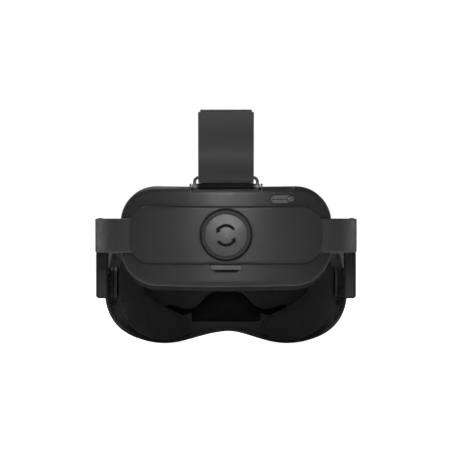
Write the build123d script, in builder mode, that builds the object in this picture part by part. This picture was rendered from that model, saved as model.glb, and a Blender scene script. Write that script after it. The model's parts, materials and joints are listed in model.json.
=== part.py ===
"""A self-contained VR headset: visor, arms with speakers, rear battery unit with a fit dial, and top strap.

The wearer faces -Y, +Z is up and the wearer's left is +X. Z is 0 at the visor's lowest point, X and Y are 0
in the middle of the headset. All sizes are in millimetres. Unlike the visor and the arms, the rear unit is
tilted: its pieces are drawn on REAR_FACE (local x to the wearer's right, y up, z out of the back) and on
REAR_PLAN (local x to the wearer's left, y out of the back, z up).
"""

import os
from math import cos, pi, radians, sin, sqrt

from build123d import *

# ---------------------------------------------------------------- driving dimensions
# visor
VISOR_HALF_WIDTH = 98.3
VISOR_TOP = 104.0
NOSE_ARCH = 9.7  # height of the nose arch over the lowest point
VISOR_FRONT = 150.0  # distance of the front face ahead of Y = 0
VISOR_CURVE = 175.0  # radius of the front face in plan
VISOR_SEAM = 116.0  # parting line between front shell and housing
VISOR_REAR = 88.0  # rear rim of the housing
VISOR_WALL = 2.4
FRONT_ROUND = 11.0
BACK_PLATE = 93.6  # rear face of the plate that the gasket sits on
PLATE = 2.4
FACE_CURVE = 140.0  # radius of the face side of the cushion
FACE_DEPTH = 68.0  # face side of the cushion at the middle, ahead of Y = 0

# visor ports and buttons
PORT_Y = -104.0
USB_Z = 62.0
JACK_Z = 42.0
JACK_RADIUS = 1.8
JACK_LENGTH = 14.0
JACK_NOSE = 3.2
POWER_X = 52.0
POWER_RADIUS = 4.0
POWER_TOP = 103.6
ROCKER_Z = 62.0
ROCKER_FACE = -98.9
VISOR_SCREWS = ((-91, 33), (91, 33), (-91, 70), (91, 70), (-60, 95), (60, 95))

# eyes
HALF_IPD = 32.0
IPD_TRAVEL = 3.75
EYE_Z = 62.0
BARREL_RADIUS = 21.0
BARREL_REAR = 101.0
BARREL_FRONT = 130.0
ROD_Y = -113.0
ROD_SPREAD = 25.5  # guide rods above and below the eyes
ROD_RADIUS = 1.5
IPD_MODULE = 1.0
IPD_TEETH = 12
IPD_Y = -110.5
IPD_RACK_Z = 90.5
IPD_RACK_THICK = 4.0

# hinge between visor and arms
HUB_Y = -72.0
HUB_Z = 50.0
HUB_RADIUS = 11.8
EAR_INNER = 87.4
EAR_THICK = 2.2
HUB_THICK = 5.2
ARM_INNER = 95.2
PIN_RADIUS = 3.0

# arms
ARM_BOTTOM = 75.3
ARM_TOP = 100.6
ARM_REAR = 66.0
BAND_THICK = 2.4
SPEAKER_BOTTOM = 38.8
SPEAKER_INNER = 91.5
SPEAKER_OUTER = 101.0
SPEAKER_REAR = 8.0
SPEAKER_FRONT = -46.0
GRILLE_Y = -16.0
GRILLE_Z = 52.0
GRILLE_LENGTH = 36.0
GRILLE_HEIGHT = 17.0
SPEAKER_SCREW = (96.2, 71.8)

# rear unit
REAR_Y = 142.6
REAR_Z = 84.7
REAR_TILT = 2.5
REAR_WIDTH = 156.0
REAR_TOP = 38.25  # top and bottom of the rear unit's shell over its middle
REAR_BOTTOM = -34.3
INNER_BOTTOM = -38.8  # bottom of the inner shell, which shows under the outer one
REAR_CORNER = 27.0
REAR_WALL = 2.2
SHELL_RADIUS = 109.5  # outer face in plan
HEAD_AXIS = 125.0  # depth of the upright axis that the head side is curved about
INNER_RADIUS = 99.0  # head side of the inner shell
COVER_RADIUS = 128.6  # outer face of the band cover in plan
COVER_WIDTH = 141.5
COVER_HEIGHT = 42.2
COVER_CORNER = 16.0
COVER_V = 3.7  # height of the cover over the rear unit's middle
DIAL_V = 3.9
DIAL_RADIUS = 17.8
KNOB_RADIUS = 15.6
RACK_MODULE = 1.0
RACK_TEETH = 14

# top strap
STRAP_WIDTH = 40.0
STRAP_THICK = 1.4
RING_HALF_WIDTH = 22.9
RING_RISE = 6.2
RING_WIRE = 1.1
AXLE_RADIUS = 1.8  # bar between the ring's two ends
RING_DEPTH = 5.0  # ring pivot behind the outer face, measured inwards

# clearances
GAP = 0.3
RUNNING = 0.05

UP = (0, sin(radians(REAR_TILT)), cos(radians(REAR_TILT)))
OUT = (0, cos(radians(REAR_TILT)), -sin(radians(REAR_TILT)))
REAR_FACE = Plane(origin=(0, REAR_Y, REAR_Z), x_dir=(-1, 0, 0), z_dir=OUT)
REAR_PLAN = Plane(origin=(0, REAR_Y, REAR_Z), x_dir=(1, 0, 0), z_dir=UP)
OUTWARD = Axis((0, REAR_Y, REAR_Z), OUT)
BIG = 400.0


def save(piece, name):
    """Label a finished piece and write its STEP file."""
    piece.part.label = name
    export_step(piece.part, f"parts/{name}.step")


def save_mirrored(piece, name):
    """Write the right-hand twin of a left-hand piece."""
    with BuildPart() as twin:
        mirror(piece.part, about=Plane.YZ)
    save(twin, name)


os.makedirs("parts", exist_ok=True)


# ---------------------------------------------------------------- visor outlines, seen along Y
def smooth_loop(half, inset):
    """A closed smooth outline through its left half's points and their mirror images, drawn in by inset.

    The half starts and ends on the middle plane, and runs with the inside of the outline on its left.
    """
    loop = half + [(-x, z) for x, z in reversed(half[1:-1])]
    count = len(loop)
    moved = []
    for index, (x, z) in enumerate(loop):
        before = loop[index - 1]
        after = loop[(index + 1) % count]
        run = (after[0] - before[0], after[1] - before[1])
        length = sqrt(run[0] ** 2 + run[1] ** 2)
        moved.append((x - inset * run[1] / length, z + inset * run[0] / length))
    with BuildSketch() as outline:
        with BuildLine():
            Spline(moved, periodic=True)
        make_face()
    return outline.sketch


def visor_outline(inset=0.0):
    """The visor's outline with its nose arch, drawn in by inset."""
    half = [
        (0, NOSE_ARCH), (22, 5.4), (45, 0.2), (68, 2.8), (87, 13), (96.5, 29), (VISOR_HALF_WIDTH, 50),
        (95.5, 76), (83.5, 94), (58, 101.8), (30, 103.6), (0, VISOR_TOP),
    ]
    return smooth_loop(half, inset)


def cushion_outline(inset=0.0):
    """The face cushion's C-shaped outline, open at the nose, drawn in by inset."""
    half = [
        (0, 80), (24, 79.6), (46, 77), (62, 69), (68.5, 56), (64, 42), (52, 32), (38, 26), (29, 19),
        (27.6, 11), (34, 4.6), (48, 1.9), (65, 5.4), (79.5, 18), (86, 38), (85.8, 60), (78.5, 80),
        (60, 92.5), (32, 97), (0, 97.5),
    ]
    return smooth_loop(half, inset)


def visor_body(inset, rounding):
    """The visor as one solid from its rear rim to its curved front, drawn in by inset except at the rear."""
    with BuildPart() as body:
        with BuildSketch(Plane.XZ.offset(VISOR_REAR)):
            add(visor_outline(inset))
        extrude(amount=VISOR_FRONT - VISOR_REAR)
        with BuildSketch():
            with Locations((0, VISOR_CURVE - VISOR_FRONT)):
                Circle(VISOR_CURVE - inset)
        extrude(amount=BIG, both=True, mode=Mode.INTERSECT)
        front = body.faces().sort_by(Axis.Y)[0]
        fillet(front.edges(), radius=rounding)
    return body.part


outer_body = visor_body(0, FRONT_ROUND)
inner_body = visor_body(VISOR_WALL, FRONT_ROUND)

# ---------------------------------------------------------------- visor: shells
CHASSIS_Y = 121.0
CAMERAS = ((-72, 78), (72, 78), (-66, 24), (66, 24))
CAMERA_RADIUS = 6.5
PLATE_RECESS = 1.4  # how deep the faceplate is let into the front shell


def front_disc(radius, near, far):
    """A body of four round pillars at the cameras, between two distances ahead of Y = 0."""
    with BuildPart() as pillars:
        with BuildSketch(Plane.XZ.offset(near)):
            with Locations(*CAMERAS):
                Circle(radius)
        extrude(amount=far - near)
    return pillars.part


def front_skin(outline_inset, outer, inner):
    """A curved skin of the front face, between two depths under its surface."""
    with BuildPart() as skin:
        with BuildSketch():
            with Locations((0, VISOR_CURVE - VISOR_FRONT)):
                Circle(VISOR_CURVE - outer)
                Circle(VISOR_CURVE - inner, mode=Mode.SUBTRACT)
            with Locations((0, -VISOR_FRONT)):
                Rectangle(BIG, 2 * (VISOR_FRONT - VISOR_SEAM - 4), mode=Mode.INTERSECT)
        extrude(amount=VISOR_TOP + 10)
        with BuildSketch(Plane.XZ.offset(VISOR_REAR)):
            add(visor_outline(outline_inset))
        extrude(amount=BIG, mode=Mode.INTERSECT)
    return skin.part


with BuildPart() as front_shell:
    add(outer_body)
    add(inner_body, mode=Mode.SUBTRACT)
    add(front_skin(12.0, -5, PLATE_RECESS), mode=Mode.SUBTRACT)
    split(bisect_by=Plane.XZ.offset(VISOR_SEAM + GAP / 2), keep=Keep.TOP)
    add(front_disc(CAMERA_RADIUS + GAP, VISOR_SEAM, BIG), mode=Mode.SUBTRACT)
save(front_shell, "front_shell")

with BuildPart() as faceplate:
    add(front_skin(12.0 + GAP, 0, PLATE_RECESS - 0.1))
    add(front_disc(CAMERA_RADIUS + GAP, VISOR_SEAM, BIG), mode=Mode.SUBTRACT)
save(faceplate, "faceplate")

with BuildPart() as camera_windows:
    add(front_skin(2.0, 0.3, 2.2))
    add(front_disc(CAMERA_RADIUS, VISOR_SEAM, BIG), mode=Mode.INTERSECT)
save(camera_windows, "camera_windows")

with BuildPart() as tracking_cameras:
    with BuildSketch(Plane.XZ.offset(CHASSIS_Y + PLATE + 0.2)):
        with Locations(*CAMERAS):
            Circle(5.2)
    extrude(amount=4)
    with BuildSketch(Plane.XZ.offset(CHASSIS_Y + PLATE + 4.2)):
        with Locations(*CAMERAS):
            Circle(3.6)
    extrude(amount=1.6)
save(tracking_cameras, "tracking_cameras")

with BuildPart() as visor_frame:
    add(outer_body)
    add(inner_body, mode=Mode.SUBTRACT)
    split(bisect_by=Plane.XZ.offset(VISOR_SEAM - GAP / 2), keep=Keep.BOTTOM)
    with BuildSketch(Plane.XZ.offset(BACK_PLATE)):
        add(visor_outline(VISOR_WALL / 2))
        add(visor_outline(20.0), mode=Mode.SUBTRACT)
        with Locations((0, 17.3)):
            Rectangle(56, 40, align=(Align.CENTER, Align.MIN), mode=Mode.SUBTRACT)
    extrude(amount=PLATE)
    for side in (1, -1):
        with BuildSketch(Plane.YZ.offset(side * EAR_INNER)):
            with Locations((HUB_Y, HUB_Z)):
                Circle(HUB_RADIUS)
            with Locations(((HUB_Y - BACK_PLATE) / 2, HUB_Z)):
                Rectangle(BACK_PLATE + HUB_Y, 2 * HUB_RADIUS)
            with Locations((HUB_Y, HUB_Z)):
                Circle(PIN_RADIUS + RUNNING, mode=Mode.SUBTRACT)
        extrude(amount=side * EAR_THICK)
    with Locations((0, IPD_Y, VISOR_TOP)):
        Cylinder(2.05, 10, mode=Mode.SUBTRACT)
    with Locations((POWER_X, PORT_Y, VISOR_TOP - 2)):
        Cylinder(POWER_RADIUS + GAP, 12, mode=Mode.SUBTRACT)
    with BuildSketch(Plane.YZ.offset(VISOR_HALF_WIDTH - 6)):
        with Locations((PORT_Y, USB_Z)):
            SlotOverall(9.6, 4.0, rotation=90)
        with Locations((PORT_Y, JACK_Z)):
            Circle(JACK_NOSE)
    extrude(amount=10, mode=Mode.SUBTRACT)
    with BuildSketch(Plane.YZ.offset(-VISOR_HALF_WIDTH + 6)):
        with Locations((PORT_Y, ROCKER_Z)):
            SlotOverall(16 + 2 * GAP, 4.6 + 2 * GAP, rotation=90)
    extrude(amount=-10, mode=Mode.SUBTRACT)
    with BuildSketch(Plane.XZ.offset(BACK_PLATE - 1)):
        with Locations(*VISOR_SCREWS):
            Circle(1.6)
    extrude(amount=5, mode=Mode.SUBTRACT)
save(visor_frame, "visor_frame")

with BuildPart() as visor_screws:
    with BuildSketch(Plane.XZ.offset(BACK_PLATE - 0.8)):
        with Locations(*VISOR_SCREWS):
            Circle(2.2)
            RegularPolygon(1.0, 6, mode=Mode.SUBTRACT)
    extrude(amount=0.8)
    with BuildSketch(Plane.XZ.offset(BACK_PLATE)):
        with Locations(*VISOR_SCREWS):
            Circle(1.5)
    extrude(amount=7)
save(visor_screws, "visor_screws")

with BuildPart() as usb_c_port:
    with BuildSketch(Plane.YZ.offset(VISOR_HALF_WIDTH - 8)):
        with Locations((PORT_Y, USB_Z)):
            SlotOverall(9.4, 3.8, rotation=90)
            SlotOverall(8.9, 3.2, rotation=90, mode=Mode.SUBTRACT)
    extrude(amount=7.4)
    with BuildSketch(Plane.YZ.offset(VISOR_HALF_WIDTH - 9)):
        with Locations((PORT_Y, USB_Z)):
            SlotOverall(9.4, 3.8, rotation=90)
    extrude(amount=1)
    with BuildSketch(Plane.YZ.offset(VISOR_HALF_WIDTH - 8)):
        with Locations((PORT_Y, USB_Z)):
            Rectangle(0.8, 6.6)
    extrude(amount=6.4)
save(usb_c_port, "usb_c_port")

with BuildPart() as audio_jack:
    with BuildSketch(Plane.YZ.offset(VISOR_HALF_WIDTH - JACK_LENGTH - 1.6)):
        with Locations((PORT_Y, JACK_Z)):
            Rectangle(7, 7)
    extrude(amount=JACK_LENGTH - 2.4)
    with BuildSketch(Plane.YZ.offset(VISOR_HALF_WIDTH - 4)):
        with Locations((PORT_Y, JACK_Z)):
            Circle(JACK_NOSE)
    extrude(amount=3.6)
    with BuildSketch(Plane.YZ.offset(VISOR_HALF_WIDTH - JACK_LENGTH - 0.4)):
        with Locations((PORT_Y, JACK_Z)):
            Circle(JACK_RADIUS)
    extrude(amount=JACK_LENGTH, mode=Mode.SUBTRACT)
save(audio_jack, "audio_jack")

with BuildPart() as power_button:
    with Locations((POWER_X, PORT_Y, POWER_TOP - 3)):
        Cylinder(POWER_RADIUS, 6)
    fillet(power_button.faces().sort_by(Axis.Z)[-1].edges(), radius=0.6)
    with Locations((POWER_X, PORT_Y, POWER_TOP - 6.6)):
        Cylinder(POWER_RADIUS + 1, 1.2)
save(power_button, "power_button")

with BuildPart() as volume_rocker:
    with BuildSketch(Plane.YZ.offset(ROCKER_FACE)):
        with Locations((PORT_Y, ROCKER_Z)):
            SlotOverall(16, 4.6, rotation=90)
    extrude(amount=4)
    fillet(volume_rocker.faces().sort_by(Axis.X)[0].edges(), radius=0.7)
    with Locations((ROCKER_FACE + 4.6, PORT_Y, ROCKER_Z)):
        Box(1.2, 7, 8)
save(volume_rocker, "volume_rocker")

# ---------------------------------------------------------------- visor: electronics and cooling
BOARD_Y = 134.5
FAN_Z = 80.0
FAN_RADIUS = 12.0
FAN_BLADES = 9

with BuildPart() as main_board:
    with BuildSketch(Plane.XZ.offset(BOARD_Y)):
        with Locations((0, 52)):
            RectangleRounded(96, 52, 5)
    extrude(amount=1.6)
    with BuildSketch(Plane.XZ.offset(BOARD_Y + 1.6)):
        with Locations((-34, 58), (34, 58), (-34, 38), (34, 38)):
            Rectangle(12, 10)
    extrude(amount=1.2)
save(main_board, "main_board")

with BuildPart() as heat_sink:
    with BuildSketch(Plane.XZ.offset(BOARD_Y + 1.7)):
        with Locations((0, 46)):
            Rectangle(40, 34)
    extrude(amount=2)
    with BuildSketch(Plane.XZ.offset(BOARD_Y + 3.7)):
        with Locations((0, 46)):
            with GridLocations(4, 0, 10, 1):
                Rectangle(1.2, 34)
    extrude(amount=5)
save(heat_sink, "heat_sink")

with BuildPart() as fan_housing:
    with BuildSketch(Plane.XZ.offset(BOARD_Y + 1.7)):
        with Locations((0, FAN_Z)):
            RectangleRounded(30, 30, 4)
    extrude(amount=7.5)
    with BuildSketch(Plane.XZ.offset(BOARD_Y + 2.9)):
        with Locations((0, FAN_Z)):
            Circle(FAN_RADIUS + 1)
    extrude(amount=10, mode=Mode.SUBTRACT)
    with BuildSketch(Plane.XZ.offset(BOARD_Y + 1.7)):
        with Locations((0, FAN_Z)):
            Circle(1.5)
    extrude(amount=5.5)
save(fan_housing, "fan_housing")

with BuildPart() as fan_rotor:
    with BuildSketch(Plane.XZ.offset(BOARD_Y + 3.4)):
        with Locations((0, FAN_Z)):
            Circle(4.5)
            with PolarLocations(FAN_RADIUS - 4.5, FAN_BLADES):
                Rectangle(8.4, 1.1)
    extrude(amount=4.6)
    with BuildSketch(Plane.XZ.offset(BOARD_Y + 3.4)):
        with Locations((0, FAN_Z)):
            Circle(1.5 + RUNNING)
    extrude(amount=4.6, mode=Mode.SUBTRACT)
save(fan_rotor, "fan_rotor")

# ---------------------------------------------------------------- visor: optics
CHASSIS_OPENING = 128.0  # width of the chassis's opening round both barrels
POST_X = 72.0
POST_SIZE = 8.0
POCKET_Y = 107.3  # depth of the nose pocket's wall
POCKET_WALL = 1.2


def nose_outline(inset=0.0):
    """The nose pocket's outline, a bell that opens downwards between the eyes, drawn in by inset."""
    half = [
        (0, 17.3), (14, 17.3), (28, 17.3), (42, 17.8), (52, 20.5), (54.5, 26), (49, 30.5), (41, 29.6),
        (33, 27.8), (26, 28.8), (20, 33.4), (14, 39.8), (6.5, 42.8), (0, 43.2),
    ]
    return smooth_loop(half, inset)


with BuildPart() as optics_chassis:
    with BuildSketch(Plane.XZ.offset(CHASSIS_Y)):
        add(visor_outline(14.0))
        with Locations((0, EYE_Z)):
            RectangleRounded(CHASSIS_OPENING, 2 * BARREL_RADIUS + 6, 12, mode=Mode.SUBTRACT)
    extrude(amount=PLATE)
    with BuildSketch(Plane.XZ.offset(-ROD_Y - POST_SIZE / 2)):
        with Locations(*[(x, EYE_Z + z) for x in (-POST_X, POST_X) for z in (-ROD_SPREAD, ROD_SPREAD)]):
            Rectangle(POST_SIZE, POST_SIZE)
    extrude(amount=CHASSIS_Y + ROD_Y + POST_SIZE / 2)
    with Locations(*[(0, ROD_Y, EYE_Z + z) for z in (-ROD_SPREAD, ROD_SPREAD)]):
        Cylinder(ROD_RADIUS, BIG, rotation=(0, 90, 0), mode=Mode.SUBTRACT)
save(optics_chassis, "optics_chassis")

with BuildPart() as guide_rods:
    with Locations(*[(0, ROD_Y, EYE_Z + z) for z in (-ROD_SPREAD, ROD_SPREAD)]):
        Cylinder(ROD_RADIUS, 2 * POST_X + POST_SIZE - 1, rotation=(0, 90, 0))
save(guide_rods, "guide_rods")

with BuildPart() as lens_bezel:
    with BuildSketch(Plane.XZ.offset(BACK_PLATE + PLATE)):
        add(visor_outline(12.0))
        with Locations((-HALF_IPD, EYE_Z), (HALF_IPD, EYE_Z)):
            SlotCenterToCenter(2 * IPD_TRAVEL, 2 * BARREL_RADIUS, mode=Mode.SUBTRACT)
    extrude(amount=2)
    with BuildSketch(Plane.XZ.offset(BACK_PLATE + PLATE)):
        add(nose_outline(-POCKET_WALL))
    extrude(amount=POCKET_Y + POCKET_WALL - BACK_PLATE - PLATE)
    with BuildSketch(Plane.XZ.offset(BACK_PLATE)):
        add(nose_outline())
    extrude(amount=POCKET_Y - BACK_PLATE, mode=Mode.SUBTRACT)
save(lens_bezel, "lens_bezel")

with BuildPart() as proximity_sensor:
    with BuildSketch(Plane.XZ.offset(BACK_PLATE + 1)):
        with Locations((0, 78)):
            SlotOverall(10, 4)
    extrude(amount=PLATE - 1)
save(proximity_sensor, "proximity_sensor")


def gear_tooth(root, tip, low, high):
    """A tooth's outline pointing along +Y: half-widths at its root and tip, and the heights they are at."""
    with BuildSketch() as tooth:
        with BuildLine():
            Polyline((-root, low), (-tip, high), (tip, high), (root, low), close=True)
        make_face()
    return tooth.sketch


def rack_bar(teeth, module, height, thickness):
    """A rack along X from 0, its pitch line on Y = 0 and its teeth towards -Y."""
    pitch = pi * module
    tooth = gear_tooth(0.26 * pitch, 0.1 * pitch, -1.3 * module, 0.85 * module)
    with BuildPart() as bar:
        with BuildSketch():
            with Locations((teeth * pitch / 2, module * 1.25 + height / 2)):
                Rectangle(teeth * pitch, height)
            with Locations(*[Location(((index + 0.5) * pitch, 0), 180) for index in range(teeth)]):
                add(tooth)
        extrude(amount=thickness)
    return bar.part


def pinion(teeth, module, thickness, bore):
    """A pinion about Z with a gap between teeth pointing along +Y, between heights 0 and thickness."""
    radius = teeth * module / 2
    tooth = gear_tooth(0.27 * pi * module, 0.09 * pi * module, radius - 1.4 * module, radius + 0.85 * module)
    with BuildPart() as gear:
        with BuildSketch():
            Circle(radius - 1.25 * module)
            with Locations(*[Location((0, 0), (index + 0.5) * 360 / teeth) for index in range(teeth)]):
                add(tooth)
            if bore > 0:
                Circle(bore, mode=Mode.SUBTRACT)
        extrude(amount=thickness)
    return gear.part


def lens_barrel(side, rack_y, bracket_y):
    """A lens barrel with its lugs on the guide rods and its rack; side is 1 on the left, -1 on the right."""
    centre = side * HALF_IPD
    rear = side > 0
    rack = rack_bar(5, IPD_MODULE, 3, IPD_RACK_THICK)
    with BuildPart() as barrel:
        with BuildSketch(Plane.XZ.offset(BARREL_REAR)):
            with Locations((centre, EYE_Z)):
                Circle(BARREL_RADIUS)
        extrude(amount=BARREL_FRONT - BARREL_REAR)
        with Locations(*[(centre, ROD_Y, EYE_Z + z) for z in (-ROD_SPREAD + 1, ROD_SPREAD - 1)]):
            Box(20, 8, 9)
        with Locations((centre, (bracket_y[0] + bracket_y[1]) / 2, IPD_RACK_Z + IPD_RACK_THICK)):
            Box(
                12, bracket_y[1] - bracket_y[0], IPD_RACK_Z + IPD_RACK_THICK - EYE_Z - BARREL_RADIUS + 1,
                align=(Align.CENTER, Align.CENTER, Align.MAX),
            )
        with Locations((side * (HALF_IPD + 7.5) / 2, rack_y, IPD_RACK_Z + IPD_RACK_THICK / 2)):
            Box(HALF_IPD - 7.5 + 6, 3, IPD_RACK_THICK)
        with BuildSketch(Plane.XZ.offset(BARREL_REAR - 10)):
            with Locations((centre, EYE_Z)):
                Circle(BARREL_RADIUS - 2.2)
        extrude(amount=BIG, mode=Mode.SUBTRACT)
        with Locations(*[(centre, ROD_Y, EYE_Z + z) for z in (-ROD_SPREAD, ROD_SPREAD)]):
            Cylinder(ROD_RADIUS + RUNNING, 30, rotation=(0, 90, 0), mode=Mode.SUBTRACT)
        half = 2.5 * pi * IPD_MODULE
        pitch_line = IPD_TEETH * IPD_MODULE / 2
        if rear:
            place = Location((-half, IPD_Y + pitch_line, IPD_RACK_Z))
        else:
            place = Location((half, IPD_Y - pitch_line, IPD_RACK_Z), (0, 0, 180))
        add(rack.moved(place))
    return barrel


RACK_BACK = IPD_TEETH * IPD_MODULE / 2 + 1.25 * IPD_MODULE + 1.5  # middle of a rack's bar from the pinion
left_lens_barrel = lens_barrel(1, IPD_Y + RACK_BACK, (ROD_Y - 4, IPD_Y + RACK_BACK + 1.5))
save(left_lens_barrel, "left_lens_barrel")
right_lens_barrel = lens_barrel(-1, IPD_Y - RACK_BACK, (IPD_Y - RACK_BACK - 1.5, ROD_Y + 4))
save(right_lens_barrel, "right_lens_barrel")

with BuildPart() as left_lens:
    with BuildSketch(Plane.XZ.offset(BARREL_REAR)):
        with Locations((HALF_IPD, EYE_Z)):
            Circle(BARREL_RADIUS - 2.4)
    extrude(amount=7)
    with Locations((HALF_IPD, -BARREL_REAR - 60, EYE_Z)):
        Sphere(60, mode=Mode.INTERSECT)
save(left_lens, "left_lens")
save_mirrored(left_lens, "right_lens")

with BuildPart() as left_display:
    with BuildSketch(Plane.XZ.offset(BARREL_FRONT + 0.1)):
        with Locations((HALF_IPD, EYE_Z)):
            RectangleRounded(44, 44, 4)
    extrude(amount=3.4)
save(left_display, "left_display")
save_mirrored(left_display, "right_display")

with BuildPart() as ipd_knob:
    add(pinion(IPD_TEETH, IPD_MODULE, IPD_RACK_THICK, 0).moved(Location((0, IPD_Y, IPD_RACK_Z))))
    with BuildSketch(Plane.XY.offset(IPD_RACK_Z)):
        with Locations((0, IPD_Y)):
            Circle(2)
    extrude(amount=VISOR_TOP + 1 - IPD_RACK_Z)
    with BuildSketch(Plane.XY.offset(VISOR_TOP + GAP)):
        with Locations((0, IPD_Y)):
            Circle(7.4)
            with PolarLocations(7.6, 24):
                Circle(0.5, mode=Mode.SUBTRACT)
    extrude(amount=2.6)
save(ipd_knob, "ipd_knob")

# ---------------------------------------------------------------- face gasket
GASKET_THICK = 5.0
MAGNETS = ((-77, 64), (77, 64), (-60, 16), (60, 16), (0, 88.5))

with BuildPart() as gasket_frame:
    with BuildSketch(Plane.XZ.offset(BACK_PLATE - GASKET_THICK - 0.1)):
        add(cushion_outline(2.5))
    extrude(amount=GASKET_THICK)
    with BuildSketch(Plane.XZ.offset(BACK_PLATE - 1.8)):
        with Locations(*MAGNETS):
            Circle(2.6)
    extrude(amount=4, mode=Mode.SUBTRACT)
save(gasket_frame, "gasket_frame")

with BuildPart() as gasket_magnets:
    with BuildSketch(Plane.XZ.offset(BACK_PLATE - 1.7)):
        with Locations(*MAGNETS):
            Circle(2.5)
    extrude(amount=1.5)
save(gasket_magnets, "gasket_magnets")

with BuildPart() as face_cushion:
    with BuildSketch(Plane.XZ.offset(30)):
        add(cushion_outline())
    extrude(amount=VISOR_REAR - GAP - 30)
    with Locations((0, FACE_CURVE - FACE_DEPTH, 0)):
        Cylinder(FACE_CURVE, BIG, mode=Mode.SUBTRACT)
save(face_cushion, "face_cushion")

# ---------------------------------------------------------------- hinges
with BuildPart() as hinge_hubs:
    for side in (1, -1):
        with BuildSketch(Plane.YZ.offset(side * (EAR_INNER + EAR_THICK + 0.05))):
            with Locations((HUB_Y, HUB_Z)):
                Circle(HUB_RADIUS)
                Circle(PIN_RADIUS + RUNNING, mode=Mode.SUBTRACT)
        extrude(amount=side * (HUB_THICK - 0.05))
    rims = hinge_hubs.edges().filter_by(GeomType.CIRCLE).filter_by(lambda edge: edge.radius > PIN_RADIUS + 1)
    fillet(rims, radius=1.0)
save(hinge_hubs, "hinge_hubs")

ARM_OUTER = 99.8
CAP_THICK = 1.4

with BuildPart() as hinge_pins:
    for side in (1, -1):
        with BuildSketch(Plane.YZ.offset(side * (EAR_INNER - 0.3))):
            with Locations((HUB_Y, HUB_Z)):
                Circle(PIN_RADIUS)
        extrude(amount=side * (ARM_OUTER + 0.4 - EAR_INNER))
        with BuildSketch(Plane.YZ.offset(side * (ARM_OUTER + 0.1))):
            with Locations((HUB_Y, HUB_Z)):
                Circle(8)
                Circle(4, mode=Mode.SUBTRACT)
        extrude(amount=side * CAP_THICK)
        with BuildSketch(Plane.YZ.offset(side * (ARM_OUTER + 0.1))):
            with Locations((HUB_Y, HUB_Z)):
                Circle(4.2)
        extrude(amount=side * (CAP_THICK - 0.5))
save(hinge_pins, "hinge_pins")

# ---------------------------------------------------------------- arms
ARM_REAR_OUTER = 98.4
ARM_REAR_INNER = ARM_REAR_OUTER - BAND_THICK

with BuildPart() as left_arm:
    with BuildSketch(Plane.XY.offset(HUB_Z - 20)):
        with BuildLine():
            Spline((ARM_OUTER, HUB_Y - 16), (101, -40), (101, SPEAKER_REAR), (ARM_REAR_OUTER, ARM_REAR))
            Line((ARM_REAR_OUTER, ARM_REAR), (ARM_REAR_INNER, ARM_REAR))
            Spline((ARM_REAR_INNER, ARM_REAR), (95.6, 20), (ARM_INNER, -40), (ARM_INNER, HUB_Y - 16))
            Line((ARM_INNER, HUB_Y - 16), (ARM_OUTER, HUB_Y - 16))
        make_face()
    extrude(amount=BIG)
    with BuildSketch(Plane.YZ):
        with BuildLine():
            Polyline(
                (SPEAKER_FRONT - 1.5, ARM_BOTTOM), (ARM_REAR, ARM_BOTTOM), (ARM_REAR, ARM_TOP),
                (-44, ARM_TOP),
            )
            Spline(
                (-44, ARM_TOP), (-61, 92), (-73.5, 76), (-80.5, 63), (HUB_Y - 12.4, HUB_Z),
                tangents=((-1, 0), (0, -1)),
            )
            ThreePointArc((HUB_Y - 12.4, HUB_Z), (HUB_Y, HUB_Z - 12.4), (HUB_Y + 12.4, HUB_Z))
            Spline(
                (HUB_Y + 12.4, HUB_Z), (-57, 64), (SPEAKER_FRONT - 1.5, ARM_BOTTOM),
                tangents=((0, 1), (1, 0)),
            )
        make_face()
    extrude(amount=BIG, mode=Mode.INTERSECT)
    with Locations((97, HUB_Y, HUB_Z)):
        Cylinder(PIN_RADIUS, 20, rotation=(0, 90, 0), mode=Mode.SUBTRACT)
    with Locations((ARM_OUTER, HUB_Y, HUB_Z)):
        Cylinder(
            8.3, 10, rotation=(0, 90, 0), align=(Align.CENTER, Align.CENTER, Align.MIN), mode=Mode.SUBTRACT
        )
    long_edges = left_arm.edges().filter_by(lambda edge: edge.length > 60)
    fillet(long_edges, radius=0.9)
    with Locations((98, -2, ARM_TOP + 0.1)):
        Box(3.0, 7, 1.2)
save(left_arm, "left_arm")
save_mirrored(left_arm, "right_arm")

with BuildPart() as left_speaker_box:
    with BuildSketch(Plane.XY.offset(SPEAKER_BOTTOM)):
        with Locations(((SPEAKER_INNER + SPEAKER_OUTER) / 2, (SPEAKER_FRONT + SPEAKER_REAR) / 2)):
            RectangleRounded(SPEAKER_OUTER - SPEAKER_INNER, SPEAKER_REAR - SPEAKER_FRONT, 2.2)
    extrude(amount=ARM_BOTTOM - 0.1 - SPEAKER_BOTTOM)
    bottom = left_speaker_box.faces().sort_by(Axis.Z)[0]
    chamfer(bottom.edges(), length=1.6)
    with BuildSketch(Plane.XY.offset(SPEAKER_BOTTOM + 2.4)):
        with Locations(((SPEAKER_INNER + SPEAKER_OUTER) / 2, (SPEAKER_FRONT + SPEAKER_REAR) / 2)):
            RectangleRounded(SPEAKER_OUTER - SPEAKER_INNER - 3.2, SPEAKER_REAR - SPEAKER_FRONT - 4, 1.5)
    extrude(amount=ARM_BOTTOM - SPEAKER_BOTTOM - 5, mode=Mode.SUBTRACT)
    with BuildSketch(Plane.YZ.offset(SPEAKER_INNER - 1)):
        with Locations((GRILLE_Y, GRILLE_Z)):
            SlotOverall(GRILLE_LENGTH, GRILLE_HEIGHT)
    extrude(amount=4, mode=Mode.SUBTRACT)
    with Locations((SPEAKER_SCREW[0], SPEAKER_REAR, SPEAKER_SCREW[1])):
        Cylinder(1.4, 12, rotation=(90, 0, 0), mode=Mode.SUBTRACT)
save(left_speaker_box, "left_speaker_box")
save_mirrored(left_speaker_box, "right_speaker_box")

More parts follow.
